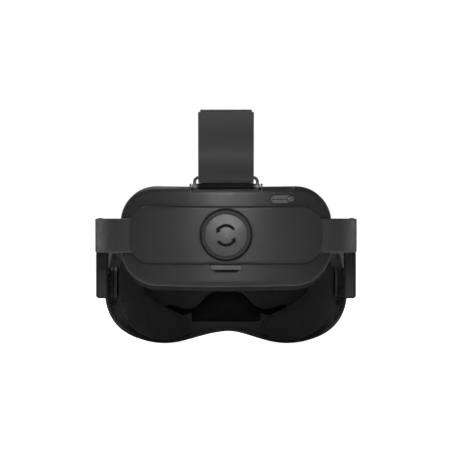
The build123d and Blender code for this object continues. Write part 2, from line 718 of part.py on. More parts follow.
with BuildPart() as speaker_grilles:
    for side in (1, -1):
        with BuildSketch(Plane.YZ.offset(side * (SPEAKER_INNER + 0.4))):
            with Locations((GRILLE_Y, GRILLE_Z)):
                SlotOverall(GRILLE_LENGTH - 0.2, GRILLE_HEIGHT - 0.2)
                with GridLocations(3.6, 3.6, 9, 4):
                    Circle(1.0, mode=Mode.SUBTRACT)
        extrude(amount=side * 1.0)
save(speaker_grilles, "speaker_grilles")

with BuildPart() as speaker_drivers:
    for side in (1, -1):
        with BuildSketch(Plane.YZ.offset(side * (SPEAKER_INNER + 1.9))):
            with Locations((GRILLE_Y, GRILLE_Z)):
                SlotOverall(30, 15)
        extrude(amount=side * 4.6)
save(speaker_drivers, "speaker_drivers")

with BuildPart() as speaker_screws:
    for side in (1, -1):
        with Locations((side * SPEAKER_SCREW[0], SPEAKER_REAR - 1.2, SPEAKER_SCREW[1])):
            Cylinder(1.4, 5.6, rotation=(90, 0, 0))
    fillet(speaker_screws.faces().sort_by(Axis.Y)[-2:].edges(), radius=0.7)
save(speaker_screws, "speaker_screws")

with BuildPart() as speaker_clips:
    for side in (1, -1):
        with BuildSketch(Plane.XZ.offset(-SPEAKER_REAR + 1)):
            with BuildLine():
                Polyline(
                    (side * (SPEAKER_INNER - 0.1), ARM_BOTTOM - 0.3),
                    (side * (SPEAKER_INNER - 3.2), ARM_BOTTOM - 0.3),
                    (side * (SPEAKER_INNER - 0.9), 62.5),
                    (side * (SPEAKER_INNER - 0.1), 62.5),
                    close=True,
                )
            make_face()
        extrude(amount=6)
save(speaker_clips, "speaker_clips")

# ---------------------------------------------------------------- flexible bands between arms and rear unit
BAND_IN = 24.3  # inner end of the band, against its rack
BAND_SPLIT = 48.0  # inside this the two bands share the height
UPPER_HALF = 90.0  # bottom of the left band's inner end
LOWER_HALF = 86.0  # top of the right band's inner end


def band_strip(margin, low, high, start):
    """The left band from x = start outwards, between two heights, grown all round by margin."""
    with BuildPart() as strip:
        with BuildSketch(Plane.XY.offset(low - margin)):
            with BuildLine():
                Spline(
                    (BAND_IN, 130.8), (40, 130.4), (51, 129), (60, 126.4), (70, 121), (82.5, 110),
                    (91.5, 96.5), (95.8, 83), (ARM_REAR_OUTER - BAND_THICK / 2, ARM_REAR + GAP / 2),
                    tangents=((1, 0), (0.1, -1)),
                )
            trace(line_width=BAND_THICK + 2 * margin)
            with Locations((start, 0)):
                Rectangle(BIG, BIG, align=(Align.MIN, Align.CENTER), mode=Mode.INTERSECT)
            with Locations((0, ARM_REAR + GAP / 2)):
                Rectangle(BIG, BIG, align=(Align.CENTER, Align.MIN), mode=Mode.INTERSECT)
        extrude(amount=high - low + 2 * margin)
    return strip.part


with BuildPart() as left_band:
    add(band_strip(0, ARM_BOTTOM, ARM_TOP, BAND_SPLIT))
    add(band_strip(0, UPPER_HALF, ARM_TOP, BAND_IN))
save(left_band, "left_band")

with BuildPart() as right_band:
    mirror(band_strip(0, ARM_BOTTOM, ARM_TOP, BAND_SPLIT), about=Plane.YZ)
    mirror(band_strip(0, ARM_BOTTOM, LOWER_HALF, BAND_IN), about=Plane.YZ)
save(right_band, "right_band")

# ---------------------------------------------------------------- rear unit: shells


SLAB_REACH = 76.0  # how far a slab is drawn before its outline cuts it


def rear_slab(width, height, corner, middle, outer, inner):
    """A curved slab of the rear unit.

    Its outline is a rounded rectangle with its middle at a height. outer and inner are the radii of its two
    curved faces in plan, each with the depth of the axis that it is curved about.
    """
    with BuildPart() as slab:
        with BuildSketch(REAR_PLAN.offset(-SLAB_REACH)):
            with Locations((0, -outer[1])):
                Circle(outer[0])
            with Locations((0, -inner[1])):
                Circle(inner[0], mode=Mode.SUBTRACT)
            with Locations((0, -SLAB_REACH / 2)):
                Rectangle(REAR_WIDTH + 2, 2 * SLAB_REACH, mode=Mode.INTERSECT)
        extrude(amount=2 * SLAB_REACH)
        with BuildSketch(REAR_FACE.offset(-BIG / 2)):
            with Locations((0, middle)):
                RectangleRounded(width, height, corner)
        extrude(amount=BIG, mode=Mode.INTERSECT)
    return slab.part


def upright(radius, axis_depth, height=BIG):
    """A solid cylinder of the rear unit about an upright axis at a depth."""
    with BuildPart() as column:
        with BuildSketch(REAR_PLAN.offset(-height / 2)):
            with Locations((0, -axis_depth)):
                Circle(radius)
        extrude(amount=height)
    return column.part


OUTER_FACE = (SHELL_RADIUS, SHELL_RADIUS)
INNER_FACE = (INNER_RADIUS, HEAD_AXIS)
INNER_PLATE = 2.0
SHELL_HEIGHT = REAR_TOP - REAR_BOTTOM
SHELL_V = (REAR_TOP + REAR_BOTTOM) / 2
BATTERY_RADII = (INNER_RADIUS + INNER_PLATE + 0.6, INNER_RADIUS + INNER_PLATE + 8.6)
BATTERY_WIDTH = 99.0
BATTERY_TOP = 24.0
RACK_DEPTH = 14.2  # head side of racks and pinion, in from the outer face
RACK_THICK = 3.4
PINION_RADIUS = RACK_TEETH * RACK_MODULE / 2
PILL_X = 41.5
PILL_V = 29.6
PILL_DEPTH = 0.7
BUTTON_ANGLE = -25.6  # place of the status button round the shell, to the wearer's right
BUTTON_RADIUS = 2.5
USB_ANGLE = -26.0
CHARGE_DEPTH = 5.0
USB_INSET = 2.6  # middle of the socket in from the outer face
USB_PLACE = Location(
    (
        (SHELL_RADIUS - USB_INSET) * sin(radians(USB_ANGLE)),
        (SHELL_RADIUS - USB_INSET) * cos(radians(USB_ANGLE)) - SHELL_RADIUS,
    ),
    -USB_ANGLE,
)
SCREW_PLACES = ((-38, -25), (38, -25), (-38, 25), (38, 25))
LATCH_V = -19.9
LATCH_WIDTH = 22.5
LATCH_HEIGHT = 3.6
LATCH_TRAVEL = 2.0
TRAY_DEPTH = 2.2  # notch in the top edge that the strap ring hangs in
TRAY_WIDTH = 50.4
TRAY_FLOOR = 1.8
TRAY_FRONT = -9.5  # front edge of the notch, in from the outer face
PIVOT_V = REAR_TOP + 1.05
LUG_X = 25.9  # lugs that carry the ring's pins
LUG_THICK = 1.4
RING_PIN = 0.8


def battery_block(margin, bottom):
    """The battery's curved block, from a height up to its top, grown by margin."""
    top = BATTERY_TOP + margin
    return rear_slab(
        BATTERY_WIDTH + 2 * margin, top - bottom, 0.5, (top + bottom) / 2,
        (BATTERY_RADII[1] + margin, HEAD_AXIS), (BATTERY_RADII[0] - margin, HEAD_AXIS),
    )


def radial_plane(angle, radius, axis_depth, height):
    """A plane that faces out of the rear unit at an angle round an upright axis, positive to the left."""
    across, along = sin(radians(angle)), cos(radians(angle))
    origin = REAR_PLAN.from_local_coords((radius * across, radius * along - axis_depth, height))
    normal = REAR_PLAN.from_local_coords((across, along, 0)) - REAR_PLAN.origin
    sideways = REAR_PLAN.from_local_coords((along, -across, 0)) - REAR_PLAN.origin
    return Plane(origin=origin, x_dir=sideways, z_dir=normal)


shell_block = rear_slab(REAR_WIDTH, SHELL_HEIGHT, REAR_CORNER, SHELL_V, OUTER_FACE, INNER_FACE)
cavity = rear_slab(
    REAR_WIDTH - 2 * REAR_WALL, SHELL_HEIGHT - 2 * REAR_WALL, REAR_CORNER - REAR_WALL, SHELL_V,
    (SHELL_RADIUS - REAR_WALL, SHELL_RADIUS), (INNER_RADIUS - 5, HEAD_AXIS),
)
battery_slot = battery_block(0.4, REAR_BOTTOM - 2)


def band_room(low, high):
    """Room for the left band and its rack's end: the band grown all round, whole and in its inner height."""
    with BuildPart() as room:
        add(band_strip(0.6, ARM_BOTTOM, ARM_TOP, BAND_SPLIT - 4))
        add(band_strip(0.6, low, high, BAND_IN + 10))
    return room.part


def ring_axis(radius, start, length):
    """Round pieces about the strap ring's pivot axis, on both sides, from a start outwards."""
    place = REAR_PLAN.from_local_coords((0, -RING_DEPTH, PIVOT_V))
    with BuildPart() as pins:
        for side in (1, -1):
            with BuildSketch(Plane(origin=(side * start, place.Y, place.Z), z_dir=(1, 0, 0))):
                Circle(radius)
            extrude(amount=side * length)
    return pins.part


def pill_skin(outer, inner, margin):
    """A skin of the shell in the status window's outline, between two depths under the shell's surface."""
    with BuildPart() as skin:
        add(upright(SHELL_RADIUS - outer, SHELL_RADIUS))
        add(upright(SHELL_RADIUS - inner, SHELL_RADIUS), mode=Mode.SUBTRACT)
        with BuildSketch(REAR_FACE.offset(-40)):
            with Locations((PILL_X, PILL_V)):
                SlotOverall(17.8 + 2 * margin, 5.8 + 2 * margin)
        extrude(amount=60, mode=Mode.INTERSECT)
    return skin.part


with BuildPart() as tray_floor:
    with BuildSketch(REAR_PLAN.offset(REAR_TOP - TRAY_DEPTH - TRAY_FLOOR)):
        Rectangle(TRAY_WIDTH + 6, 2 * (4 - TRAY_FRONT))
    extrude(amount=TRAY_FLOOR + 0.4)
    add(upright(SHELL_RADIUS - 1.5, SHELL_RADIUS), mode=Mode.INTERSECT)

with BuildPart() as rear_shell:
    add(shell_block)
    outer_edges = rear_shell.faces().sort_by(OUTWARD)[-1].edges()
    fillet(outer_edges, radius=5.0)
    add(cavity, mode=Mode.SUBTRACT)
    for angle, height in SCREW_PLACES:
        with BuildSketch(radial_plane(angle, INNER_RADIUS + INNER_PLATE, HEAD_AXIS, height)):
            Circle(3.2)
        extrude(until=Until.NEXT)
    add(tray_floor.part)
    with BuildSketch(REAR_PLAN.offset(REAR_TOP - TRAY_DEPTH)):
        with Locations((0, TRAY_FRONT)):
            RectangleRounded(TRAY_WIDTH, 24, 1.5, align=(Align.CENTER, Align.MIN))
    extrude(amount=TRAY_DEPTH + 5, mode=Mode.SUBTRACT)
    with BuildSketch(REAR_PLAN.offset(REAR_TOP - 4)):
        with Locations((-LUG_X, -RING_DEPTH), (LUG_X, -RING_DEPTH)):
            RectangleRounded(LUG_THICK, 3.4, 0.6)
    extrude(amount=4 + PIVOT_V - REAR_TOP)
    add(ring_axis(1.7, LUG_X - LUG_THICK / 2, LUG_THICK))
    add(ring_axis(RING_PIN, 20, 20), mode=Mode.SUBTRACT)
    add(upright(INNER_RADIUS + INNER_PLATE + 0.2, HEAD_AXIS), mode=Mode.SUBTRACT)
    add(battery_slot, mode=Mode.SUBTRACT)
    add(band_room(UPPER_HALF, ARM_TOP), mode=Mode.SUBTRACT)
    mirror(band_room(ARM_BOTTOM, LOWER_HALF), about=Plane.YZ, mode=Mode.SUBTRACT)
    for angle, height in SCREW_PLACES:
        with BuildSketch(radial_plane(angle, INNER_RADIUS, HEAD_AXIS, height)):
            Circle(1.6)
        extrude(amount=9, mode=Mode.SUBTRACT)
    with BuildSketch(REAR_FACE.offset(-RACK_DEPTH - 0.4)):
        with Locations((0, DIAL_V)):
            Rectangle(94, 24.5)
    extrude(amount=RACK_THICK + 0.8, mode=Mode.SUBTRACT)
    add(pill_skin(-3, PILL_DEPTH, 0.15), mode=Mode.SUBTRACT)
    with BuildSketch(radial_plane(BUTTON_ANGLE, SHELL_RADIUS - 8, SHELL_RADIUS, PILL_V)):
        Circle(BUTTON_RADIUS + 0.25)
    extrude(amount=20, mode=Mode.SUBTRACT)
    with BuildSketch(REAR_PLAN.offset(REAR_TOP - CHARGE_DEPTH - 0.5)):
        with Locations(USB_PLACE):
            SlotOverall(9.6, 4.0)
    extrude(amount=20, mode=Mode.SUBTRACT)
    with BuildSketch(REAR_FACE.offset(-6)):
        with Locations((0, LATCH_V - LATCH_TRAVEL / 2)):
            RectangleRounded(17, 3 + LATCH_TRAVEL + 0.4, 1)
    extrude(amount=BIG, mode=Mode.SUBTRACT)
    with BuildSketch(REAR_FACE.offset(-6)):
        with Locations((0, DIAL_V)):
            Circle(PIN_RADIUS + RUNNING)
    extrude(amount=BIG, mode=Mode.SUBTRACT)
save(rear_shell, "rear_shell")

with BuildPart() as charge_port:
    with BuildSketch(REAR_PLAN.offset(REAR_TOP - CHARGE_DEPTH)):
        with Locations(USB_PLACE):
            SlotOverall(9.4, 3.8)
            SlotOverall(8.9, 3.2, mode=Mode.SUBTRACT)
    extrude(amount=CHARGE_DEPTH - 1)
    with BuildSketch(REAR_PLAN.offset(REAR_TOP - CHARGE_DEPTH - 0.4)):
        with Locations(USB_PLACE):
            SlotOverall(9.4, 3.8)
    extrude(amount=0.4)
    with BuildSketch(REAR_PLAN.offset(REAR_TOP - CHARGE_DEPTH)):
        with Locations(USB_PLACE):
            Rectangle(6.6, 0.8)
    extrude(amount=CHARGE_DEPTH - 1.6)
save(charge_port, "charge_port")

with BuildPart() as status_window:
    add(pill_skin(0.25, PILL_DEPTH - 0.05, 0))
    with BuildSketch(radial_plane(BUTTON_ANGLE, SHELL_RADIUS - 8, SHELL_RADIUS, PILL_V)):
        Circle(BUTTON_RADIUS + 0.25)
    extrude(amount=20, mode=Mode.SUBTRACT)
    for angle in (-16.6, -18.1, -19.6, -21.1):
        with BuildSketch(radial_plane(angle, SHELL_RADIUS - 8, SHELL_RADIUS, PILL_V - 0.3)):
            Circle(0.45)
        extrude(amount=20, mode=Mode.SUBTRACT)
save(status_window, "status_window")

with BuildPart() as status_button:
    with BuildSketch(radial_plane(BUTTON_ANGLE, SHELL_RADIUS - 3.2, SHELL_RADIUS, PILL_V)):
        Circle(BUTTON_RADIUS)
    extrude(amount=4.2)
    dome = status_button.faces().sort_by(OUTWARD)[-1]
    fillet(dome.edges(), radius=0.9)
    with BuildSketch(radial_plane(BUTTON_ANGLE, SHELL_RADIUS - 4.2, SHELL_RADIUS, PILL_V)):
        Circle(BUTTON_RADIUS + 0.5)
    extrude(amount=1.0)
save(status_button, "status_button")

with BuildPart() as inner_shell:
    inner_top = REAR_TOP - 0.5
    add(
        rear_slab(
            REAR_WIDTH - 1, inner_top - INNER_BOTTOM, REAR_CORNER - 0.5, (inner_top + INNER_BOTTOM) / 2,
            (INNER_RADIUS + INNER_PLATE, HEAD_AXIS), INNER_FACE,
        )
    )
    for angle, height in SCREW_PLACES:
        with BuildSketch(radial_plane(angle, INNER_RADIUS - 2, HEAD_AXIS, height)):
            Circle(1.6)
        extrude(amount=8, mode=Mode.SUBTRACT)
save(inner_shell, "inner_shell")

with BuildPart() as rear_screws:
    for angle, height in SCREW_PLACES:
        with BuildSketch(radial_plane(angle, INNER_RADIUS + 0.2, HEAD_AXIS, height)):
            Circle(1.55)
            RegularPolygon(0.8, 6, mode=Mode.SUBTRACT)
        extrude(amount=8)
save(rear_screws, "rear_screws")

with BuildPart() as rear_cushion:
    add(rear_slab(134, 67, 25, 0, (INNER_RADIUS - 0.3, HEAD_AXIS), (INNER_RADIUS - 14, HEAD_AXIS)))
save(rear_cushion, "rear_cushion")

# ---------------------------------------------------------------- rear unit: band cover, dial and racks
DIAL_WELL = 19.2
WELL_FLOOR = 1.0  # floor of the dial's well, outside the shell's outer face
SHAFT_RADIUS = 3.0
SHAFT_RISE = 3.4
KNOB_RISE = 6.0  # height of the knob's dome over its base
KNOB_DOME = 62.0
LATCH_GAP = 0.25

with BuildPart() as band_cover:
    add(
        rear_slab(
            COVER_WIDTH, COVER_HEIGHT, COVER_CORNER, COVER_V,
            (COVER_RADIUS, HEAD_AXIS), (SHELL_RADIUS + 0.05, SHELL_RADIUS),
        )
    )
    cover_edges = band_cover.faces().sort_by(OUTWARD)[-1].edges()
    fillet(cover_edges, radius=2.2)
    with BuildSketch(REAR_FACE.offset(WELL_FLOOR)):
        with Locations((0, DIAL_V)):
            Circle(DIAL_WELL)
    extrude(amount=20, mode=Mode.SUBTRACT)
    with BuildSketch(REAR_FACE.offset(-2)):
        with Locations((0, DIAL_V)):
            Circle(SHAFT_RADIUS + 0.4)
    extrude(amount=20, mode=Mode.SUBTRACT)
    add(band_room(UPPER_HALF, ARM_TOP), mode=Mode.SUBTRACT)
    mirror(band_room(ARM_BOTTOM, LOWER_HALF), about=Plane.YZ, mode=Mode.SUBTRACT)
save(band_cover, "band_cover")

with BuildPart() as dial_ring:
    with BuildSketch(REAR_FACE.offset(WELL_FLOOR + 0.3)):
        with Locations((0, DIAL_V)):
            Circle(DIAL_RADIUS)
            Circle(KNOB_RADIUS, mode=Mode.SUBTRACT)
            with PolarLocations(DIAL_RADIUS + 0.25, 60):
                Circle(0.55, mode=Mode.SUBTRACT)
    extrude(amount=4.0)
save(dial_ring, "dial_ring")

with BuildPart() as dial_knob:
    with BuildSketch(REAR_FACE.offset(WELL_FLOOR + 0.3)):
        with Locations((0, DIAL_V)):
            Circle(KNOB_RADIUS - 0.4)
    extrude(amount=KNOB_RISE + 1)
    dome_place = REAR_FACE.offset(WELL_FLOOR + 0.3 + KNOB_RISE - KNOB_DOME).location
    with Locations(dome_place * Location((0, DIAL_V, 0))):
        Sphere(KNOB_DOME, mode=Mode.INTERSECT)
    with BuildSketch(REAR_FACE.offset(WELL_FLOOR + 0.3)):
        with Locations((0, DIAL_V)):
            Circle(KNOB_RADIUS - 0.05)
    extrude(amount=1.6)
    with BuildSketch(REAR_FACE):
        with Locations((0, DIAL_V)):
            Circle(SHAFT_RADIUS)
    extrude(amount=WELL_FLOOR + SHAFT_RISE, mode=Mode.SUBTRACT)
save(dial_knob, "dial_knob")

with BuildPart() as dial_pinion:
    gear = pinion(RACK_TEETH, RACK_MODULE, RACK_THICK, 0)
    add(gear.moved(REAR_FACE.offset(-RACK_DEPTH).location * Location((0, DIAL_V, 0))))
    with BuildSketch(REAR_FACE.offset(-RACK_DEPTH)):
        with Locations((0, DIAL_V)):
            Circle(SHAFT_RADIUS)
    extrude(amount=RACK_DEPTH + WELL_FLOOR + SHAFT_RISE)
save(dial_pinion, "dial_pinion")

RACK_BAR_TEETH = 15
half_rack = RACK_BAR_TEETH * pi * RACK_MODULE / 2

with BuildPart() as left_rack:
    bar = rack_bar(RACK_BAR_TEETH, RACK_MODULE, 3, RACK_THICK)
    place = REAR_FACE.offset(-RACK_DEPTH).location
    add(bar.moved(place * Location((-half_rack, DIAL_V + PINION_RADIUS, 0))))
save(left_rack, "left_rack")

with BuildPart() as right_rack:
    add(bar.moved(place * Location((half_rack, DIAL_V - PINION_RADIUS, 0), (0, 0, 180))))
save(right_rack, "right_rack")

# ---------------------------------------------------------------- battery, latch and strap ring
with BuildPart() as battery_pack:
    add(battery_block(0, REAR_BOTTOM))
save(battery_pack, "battery_pack")

with BuildPart() as battery_latch:
    with BuildSketch(REAR_FACE.offset(LATCH_GAP)):
        with Locations((0, LATCH_V)):
            RectangleRounded(LATCH_WIDTH, LATCH_HEIGHT, 0.8)
    extrude(amount=1.6)
    fillet(battery_latch.faces().sort_by(OUTWARD)[-1].edges(), radius=0.5)
    with BuildSketch(REAR_FACE.offset(-5)):
        with Locations((0, LATCH_V)):
            RectangleRounded(16, 2.6, 0.8)
    extrude(amount=5 + LATCH_GAP)
save(battery_latch, "battery_latch")

with BuildPart() as ring_pins:
    add(ring_axis(RING_PIN, 20.4, LUG_X - 20.4 + 0.5))
save(ring_pins, "ring_pins")

pivot = REAR_PLAN.from_local_coords((0, -RING_DEPTH, PIVOT_V))
RING_PLANE = Plane(origin=pivot, x_dir=(1, 0, 0), z_dir=(0, -1, 0))

with BuildPart() as strap_ring:
    with BuildLine(RING_PLANE) as wire:
        FilletPolyline(
            (-RING_HALF_WIDTH, 0), (-RING_HALF_WIDTH, RING_RISE), (RING_HALF_WIDTH, RING_RISE),
            (RING_HALF_WIDTH, 0), radius=3.2,
        )
    with BuildSketch(Plane(origin=wire.line @ 0, z_dir=wire.line % 0)):
        Circle(RING_WIRE)
    sweep(path=wire.line)
    with Locations((-RING_HALF_WIDTH, pivot.Y, pivot.Z), (RING_HALF_WIDTH, pivot.Y, pivot.Z)):
        Sphere(2.1)
    with Locations((0, pivot.Y, pivot.Z)):
        Cylinder(AXLE_RADIUS, 2 * RING_HALF_WIDTH, rotation=(0, 90, 0))
    add(ring_axis(RING_PIN + RUNNING, 20, 10), mode=Mode.SUBTRACT)
save(strap_ring, "strap_ring")

# ---------------------------------------------------------------- top strap
STRAP_HALF = STRAP_WIDTH / 2
ANCHOR_Y = -94.0
TAIL_Y = 46.0  # where the rear half ends over the crown
LAP_Y = 86.0  # where the front half ends under it
WRAP = RING_WIRE + 0.35 + STRAP_THICK / 2  # strap's middle line round the ring's wire


def strap_points(lift):
    """The strap's line over the head, raised off its lower layer by lift."""
    line = [
        (-93.5, 106), (-91, 119), (-76, 141), (-50, 165), (-20, 180.5), (10, 184.6), (45, 180), (82, 166),
        (112, 148.5),
    ]
    raised = []
    for index, (y, z) in enumerate(line):
        before = line[max(index - 1, 0)]
        after = line[min(index + 1, len(line) - 1)]
        run = (after[0] - before[0], after[1] - before[1])
        length = sqrt(run[0] ** 2 + run[1] ** 2)
        raised.append((y - lift * run[1] / length, z + lift * run[0] / length))
    return raised


with BuildPart() as strap_front:
    with BuildSketch(Plane.YZ.offset(-STRAP_HALF)):
        with BuildLine():
            Spline(strap_points(0))
        trace(line_width=STRAP_THICK)
        with Locations((LAP_Y, 0)):
            Rectangle(BIG, BIG, align=(Align.MAX, Align.CENTER), mode=Mode.INTERSECT)
    extrude(amount=STRAP_WIDTH)
save(strap_front, "strap_front")

ring_top = (pivot.Y, pivot.Z + RING_RISE)
lean = radians(48)  # slope of the strap's last stretch
behind = (ring_top[0] + WRAP * sin(lean), ring_top[1] + WRAP * cos(lean))
under = (ring_top[0] + WRAP * cos(lean), ring_top[1] - WRAP * sin(lean))
ahead = (ring_top[0] - WRAP * sin(lean), ring_top[1] - WRAP * cos(lean))

with BuildPart() as strap_rear:
    with BuildSketch(Plane.YZ.offset(-STRAP_HALF)):
        with BuildLine():
            down = (cos(lean), -sin(lean))
            Spline(strap_points(STRAP_THICK + GAP)[4:] + [behind], tangents=((1, 0), down))
            ThreePointArc(behind, under, ahead)
            Spline(ahead, strap_points(-0.2)[-1], tangents=((-cos(lean), sin(lean)), (-1, 0.6)))
        trace(line_width=STRAP_THICK)
        with Locations((TAIL_Y, 0)):
            Rectangle(BIG, BIG, align=(Align.MIN, Align.CENTER), mode=Mode.INTERSECT)
    extrude(amount=STRAP_WIDTH)
save(strap_rear, "strap_rear")

with BuildPart() as strap_anchor:
    with Locations((0, ANCHOR_Y, VISOR_TOP + 0.1)):
        Box(STRAP_WIDTH + 8, 9, 7, align=(Align.CENTER, Align.CENTER, Align.MIN))
    fillet(strap_anchor.faces().sort_by(Axis.Z)[-1].edges(), radius=1.6)
    with BuildSketch(Plane.YZ.offset(-STRAP_HALF - 0.5)):
        with BuildLine():
            Spline(strap_points(0))
        trace(line_width=STRAP_THICK + 0.6)
    extrude(amount=STRAP_WIDTH + 1, mode=Mode.SUBTRACT)
save(strap_anchor, "strap_anchor")
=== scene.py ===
import json
import math

import bmesh
import bpy
import numpy as np
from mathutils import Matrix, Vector
from mathutils.bvhtree import BVHTree


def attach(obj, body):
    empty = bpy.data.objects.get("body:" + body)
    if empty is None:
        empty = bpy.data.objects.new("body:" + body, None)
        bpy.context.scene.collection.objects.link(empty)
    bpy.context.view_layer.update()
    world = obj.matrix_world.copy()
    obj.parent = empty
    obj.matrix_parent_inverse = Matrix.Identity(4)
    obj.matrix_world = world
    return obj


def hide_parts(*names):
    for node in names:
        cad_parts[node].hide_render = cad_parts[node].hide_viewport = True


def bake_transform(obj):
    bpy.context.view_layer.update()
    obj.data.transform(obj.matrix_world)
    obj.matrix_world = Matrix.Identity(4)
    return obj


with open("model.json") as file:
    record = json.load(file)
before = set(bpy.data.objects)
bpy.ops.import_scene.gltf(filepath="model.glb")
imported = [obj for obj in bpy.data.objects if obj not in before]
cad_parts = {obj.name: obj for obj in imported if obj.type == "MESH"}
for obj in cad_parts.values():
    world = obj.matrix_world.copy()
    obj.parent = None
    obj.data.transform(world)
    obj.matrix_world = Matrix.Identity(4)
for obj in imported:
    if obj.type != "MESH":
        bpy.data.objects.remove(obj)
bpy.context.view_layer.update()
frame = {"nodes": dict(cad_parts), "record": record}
scene = bpy.context.scene
nodes = frame["nodes"]
MM = 0.001

# the rear unit's own frame: its middle, its way up and its way out
REAR = Vector((0, 0.1426, 0.0847))
TILT = math.radians(2.5)
UP = Vector((0, math.sin(TILT), math.cos(TILT)))
OUT = Vector((0, math.cos(TILT), -math.sin(TILT)))

# heights over the rear unit's middle and depths behind its face, in mm
DIAL_V = 3.9
PIVOT_V, PIVOT_DEPTH = 39.3, 5.0
PIVOT = REAR + UP * (PIVOT_V * MM) - OUT * (PIVOT_DEPTH * MM)
RING_END = 0.0229  # from the middle to the ring's round ends, in metres
EYE_X, EYE_Y, EYE_Z = 0.032, -0.103, 0.062


# ---------------------------------------------------------------- material tools
class Shade:
    """A material's node tree, with short calls for the nodes that it needs."""

    def __init__(self, name, **sockets):
        self.material = bpy.data.materials.new(name)
        self.material.use_nodes = True
        self.tree = self.material.node_tree
        self.shader = self.tree.nodes["Principled BSDF"]
        for socket, value in sockets.items():
            self.shader.inputs[socket.replace("_", " ")].default_value = value
        self.place = self.tree.nodes.new("ShaderNodeTexCoord").outputs["Object"]
        self.height = None

    def add(self, kind, values=None, links=None, **settings):
        node = self.tree.nodes.new("ShaderNode" + kind)
        for key, value in settings.items():
            setattr(node, key, value)
        for socket, value in (values or {}).items():
            node.inputs[socket].default_value = value
        for socket, source in (links or {}).items():
            self.tree.links.new(source, node.inputs[socket])
        return node

    def noise(self, scale, detail=3.0, rough=0.55, vector=None):
        values = {"Scale": scale, "Detail": detail, "Roughness": rough}
        return self.add("TexNoise", values, {"Vector": vector or self.place}).outputs["Fac"]

    def ramp(self, source, low, high, start=0.3, end=0.7):
        """Maps source from start..end to low..high, numbers or colours."""
        if isinstance(low, tuple):
            node = self.add("ValToRGB", links={"Fac": source})
            node.color_ramp.elements[0].position = start
            node.color_ramp.elements[1].position = end
            node.color_ramp.elements[0].color = (*low, 1)
            node.color_ramp.elements[1].color = (*high, 1)
            return node.outputs["Color"]
        values = {"From Min": start, "From Max": end, "To Min": low, "To Max": high}
        return self.add("MapRange", values, {"Value": source}).outputs["Result"]

    def blend(self, factor, a, b, kind="MIX"):
        node = self.add("Mix", data_type="RGBA", blend_type=kind)
        for index, source in ((0, factor), (6, a), (7, b)):
            if hasattr(source, "links"):
                self.tree.links.new(source, node.inputs[index])
            else:
                node.inputs[index].default_value = source if index == 0 else (*source, 1)
        return node.outputs[2]

    def math(self, operation, a, b=None):
        node = self.add("Math", operation=operation)
        for index, source in enumerate((a, b)):
            if source is None:
                continue
            if hasattr(source, "links"):
                self.tree.links.new(source, node.inputs[index])
            else:
                node.inputs[index].default_value = source
        return node.outputs[0]

    def scaled(self, scale, vector=None):
        """Positions stretched by a factor on each axis."""
        return self.add("Mapping", {"Scale": scale}, {"Vector": vector or self.place}).outputs["Vector"]

    def nearest(self, places):
        """The distance to the nearest of some places, in metres."""
        near = None
        for place in places:
            away = self.add("VectorMath", {1: tuple(place)}, {0: self.place}, operation="DISTANCE").outputs["Value"]
            near = away if near is None else self.math("MINIMUM", near, away)
        return near

    def bump(self, source, distance, strength=1.0):
        """Adds relief of a depth in metres to the surface."""
        links = {"Height": source}
        if self.height is not None:
            links["Normal"] = self.height
        node = self.add("Bump", {"Distance": distance, "Strength": strength}, links)
        self.height = node.outputs["Normal"]
        self.tree.links.new(self.height, self.shader.inputs["Normal"])

    def set(self, socket, source):
        self.tree.links.new(source, self.shader.inputs[socket])


def grey(value):
    """A grey that is very slightly blue."""
    return (value, value, value * 1.02)


def plastic(name, tone, rough=0.5, grain=900.0, depth=0.00003, spread=0.12, specular=0.3):
    """Moulded plastic: slightly uneven colour and gloss, spark-eroded grain, faint scuffs."""
    s = Shade(name, Specular_IOR_Level=specular)
    cloud = s.noise(14, 4)
    base = s.ramp(cloud, grey(tone * (1 - spread)), grey(tone * (1 + spread)))
    dust = s.ramp(s.noise(260, 6, 0.7), 0.0, 1.0, 0.62, 0.78)
    s.set("Base Color", s.blend(s.math("MULTIPLY", dust, 0.25), base, grey(tone * 1.6)))
    fine = s.noise(90, 5, 0.65)
    s.set("Roughness", s.ramp(fine, rough - 0.06, rough + 0.07, 0.35, 0.65))
    s.bump(s.noise(grain, 2, 0.6), depth)
    return s.material


def leather(name, tone):
    """Soft coated fabric: pebbled grain, creases with painted shade in them, a dry sheen."""
    scale = 520.0
    s = Shade(name, Sheen_Weight=0.05, Sheen_Roughness=0.5, Specular_IOR_Level=0.2)
    cells = s.add("TexVoronoi", {"Scale": scale}, {"Vector": s.place}, feature="F1").outputs["Distance"]
    crease = s.add(
        "TexVoronoi", {"Scale": scale * 0.45}, {"Vector": s.place}, feature="DISTANCE_TO_EDGE"
    ).outputs["Distance"]
    cloud = s.noise(22, 5, 0.6)
    base = s.ramp(cloud, grey(tone * 0.8), grey(tone * 1.22))
    gap = s.ramp(crease, 1.0, 0.0, 0.0, 0.12)
    # painted shade: the creases are coloured darker
    s.set("Base Color", s.blend(s.math("MULTIPLY", gap, 0.4), base, grey(tone * 0.45)))
    s.set("Roughness", s.ramp(cloud, 0.62, 0.8))
    s.bump(cells, 0.00012, 0.6)
    s.bump(s.ramp(crease, 0.0, 1.0, 0.0, 0.15), 0.00010, 0.5)
    s.bump(s.noise(60, 3), 0.0004, 0.5)
    return s.material


WARP, WEFT = 0.0011, 0.0013  # spacing of the threads along and across


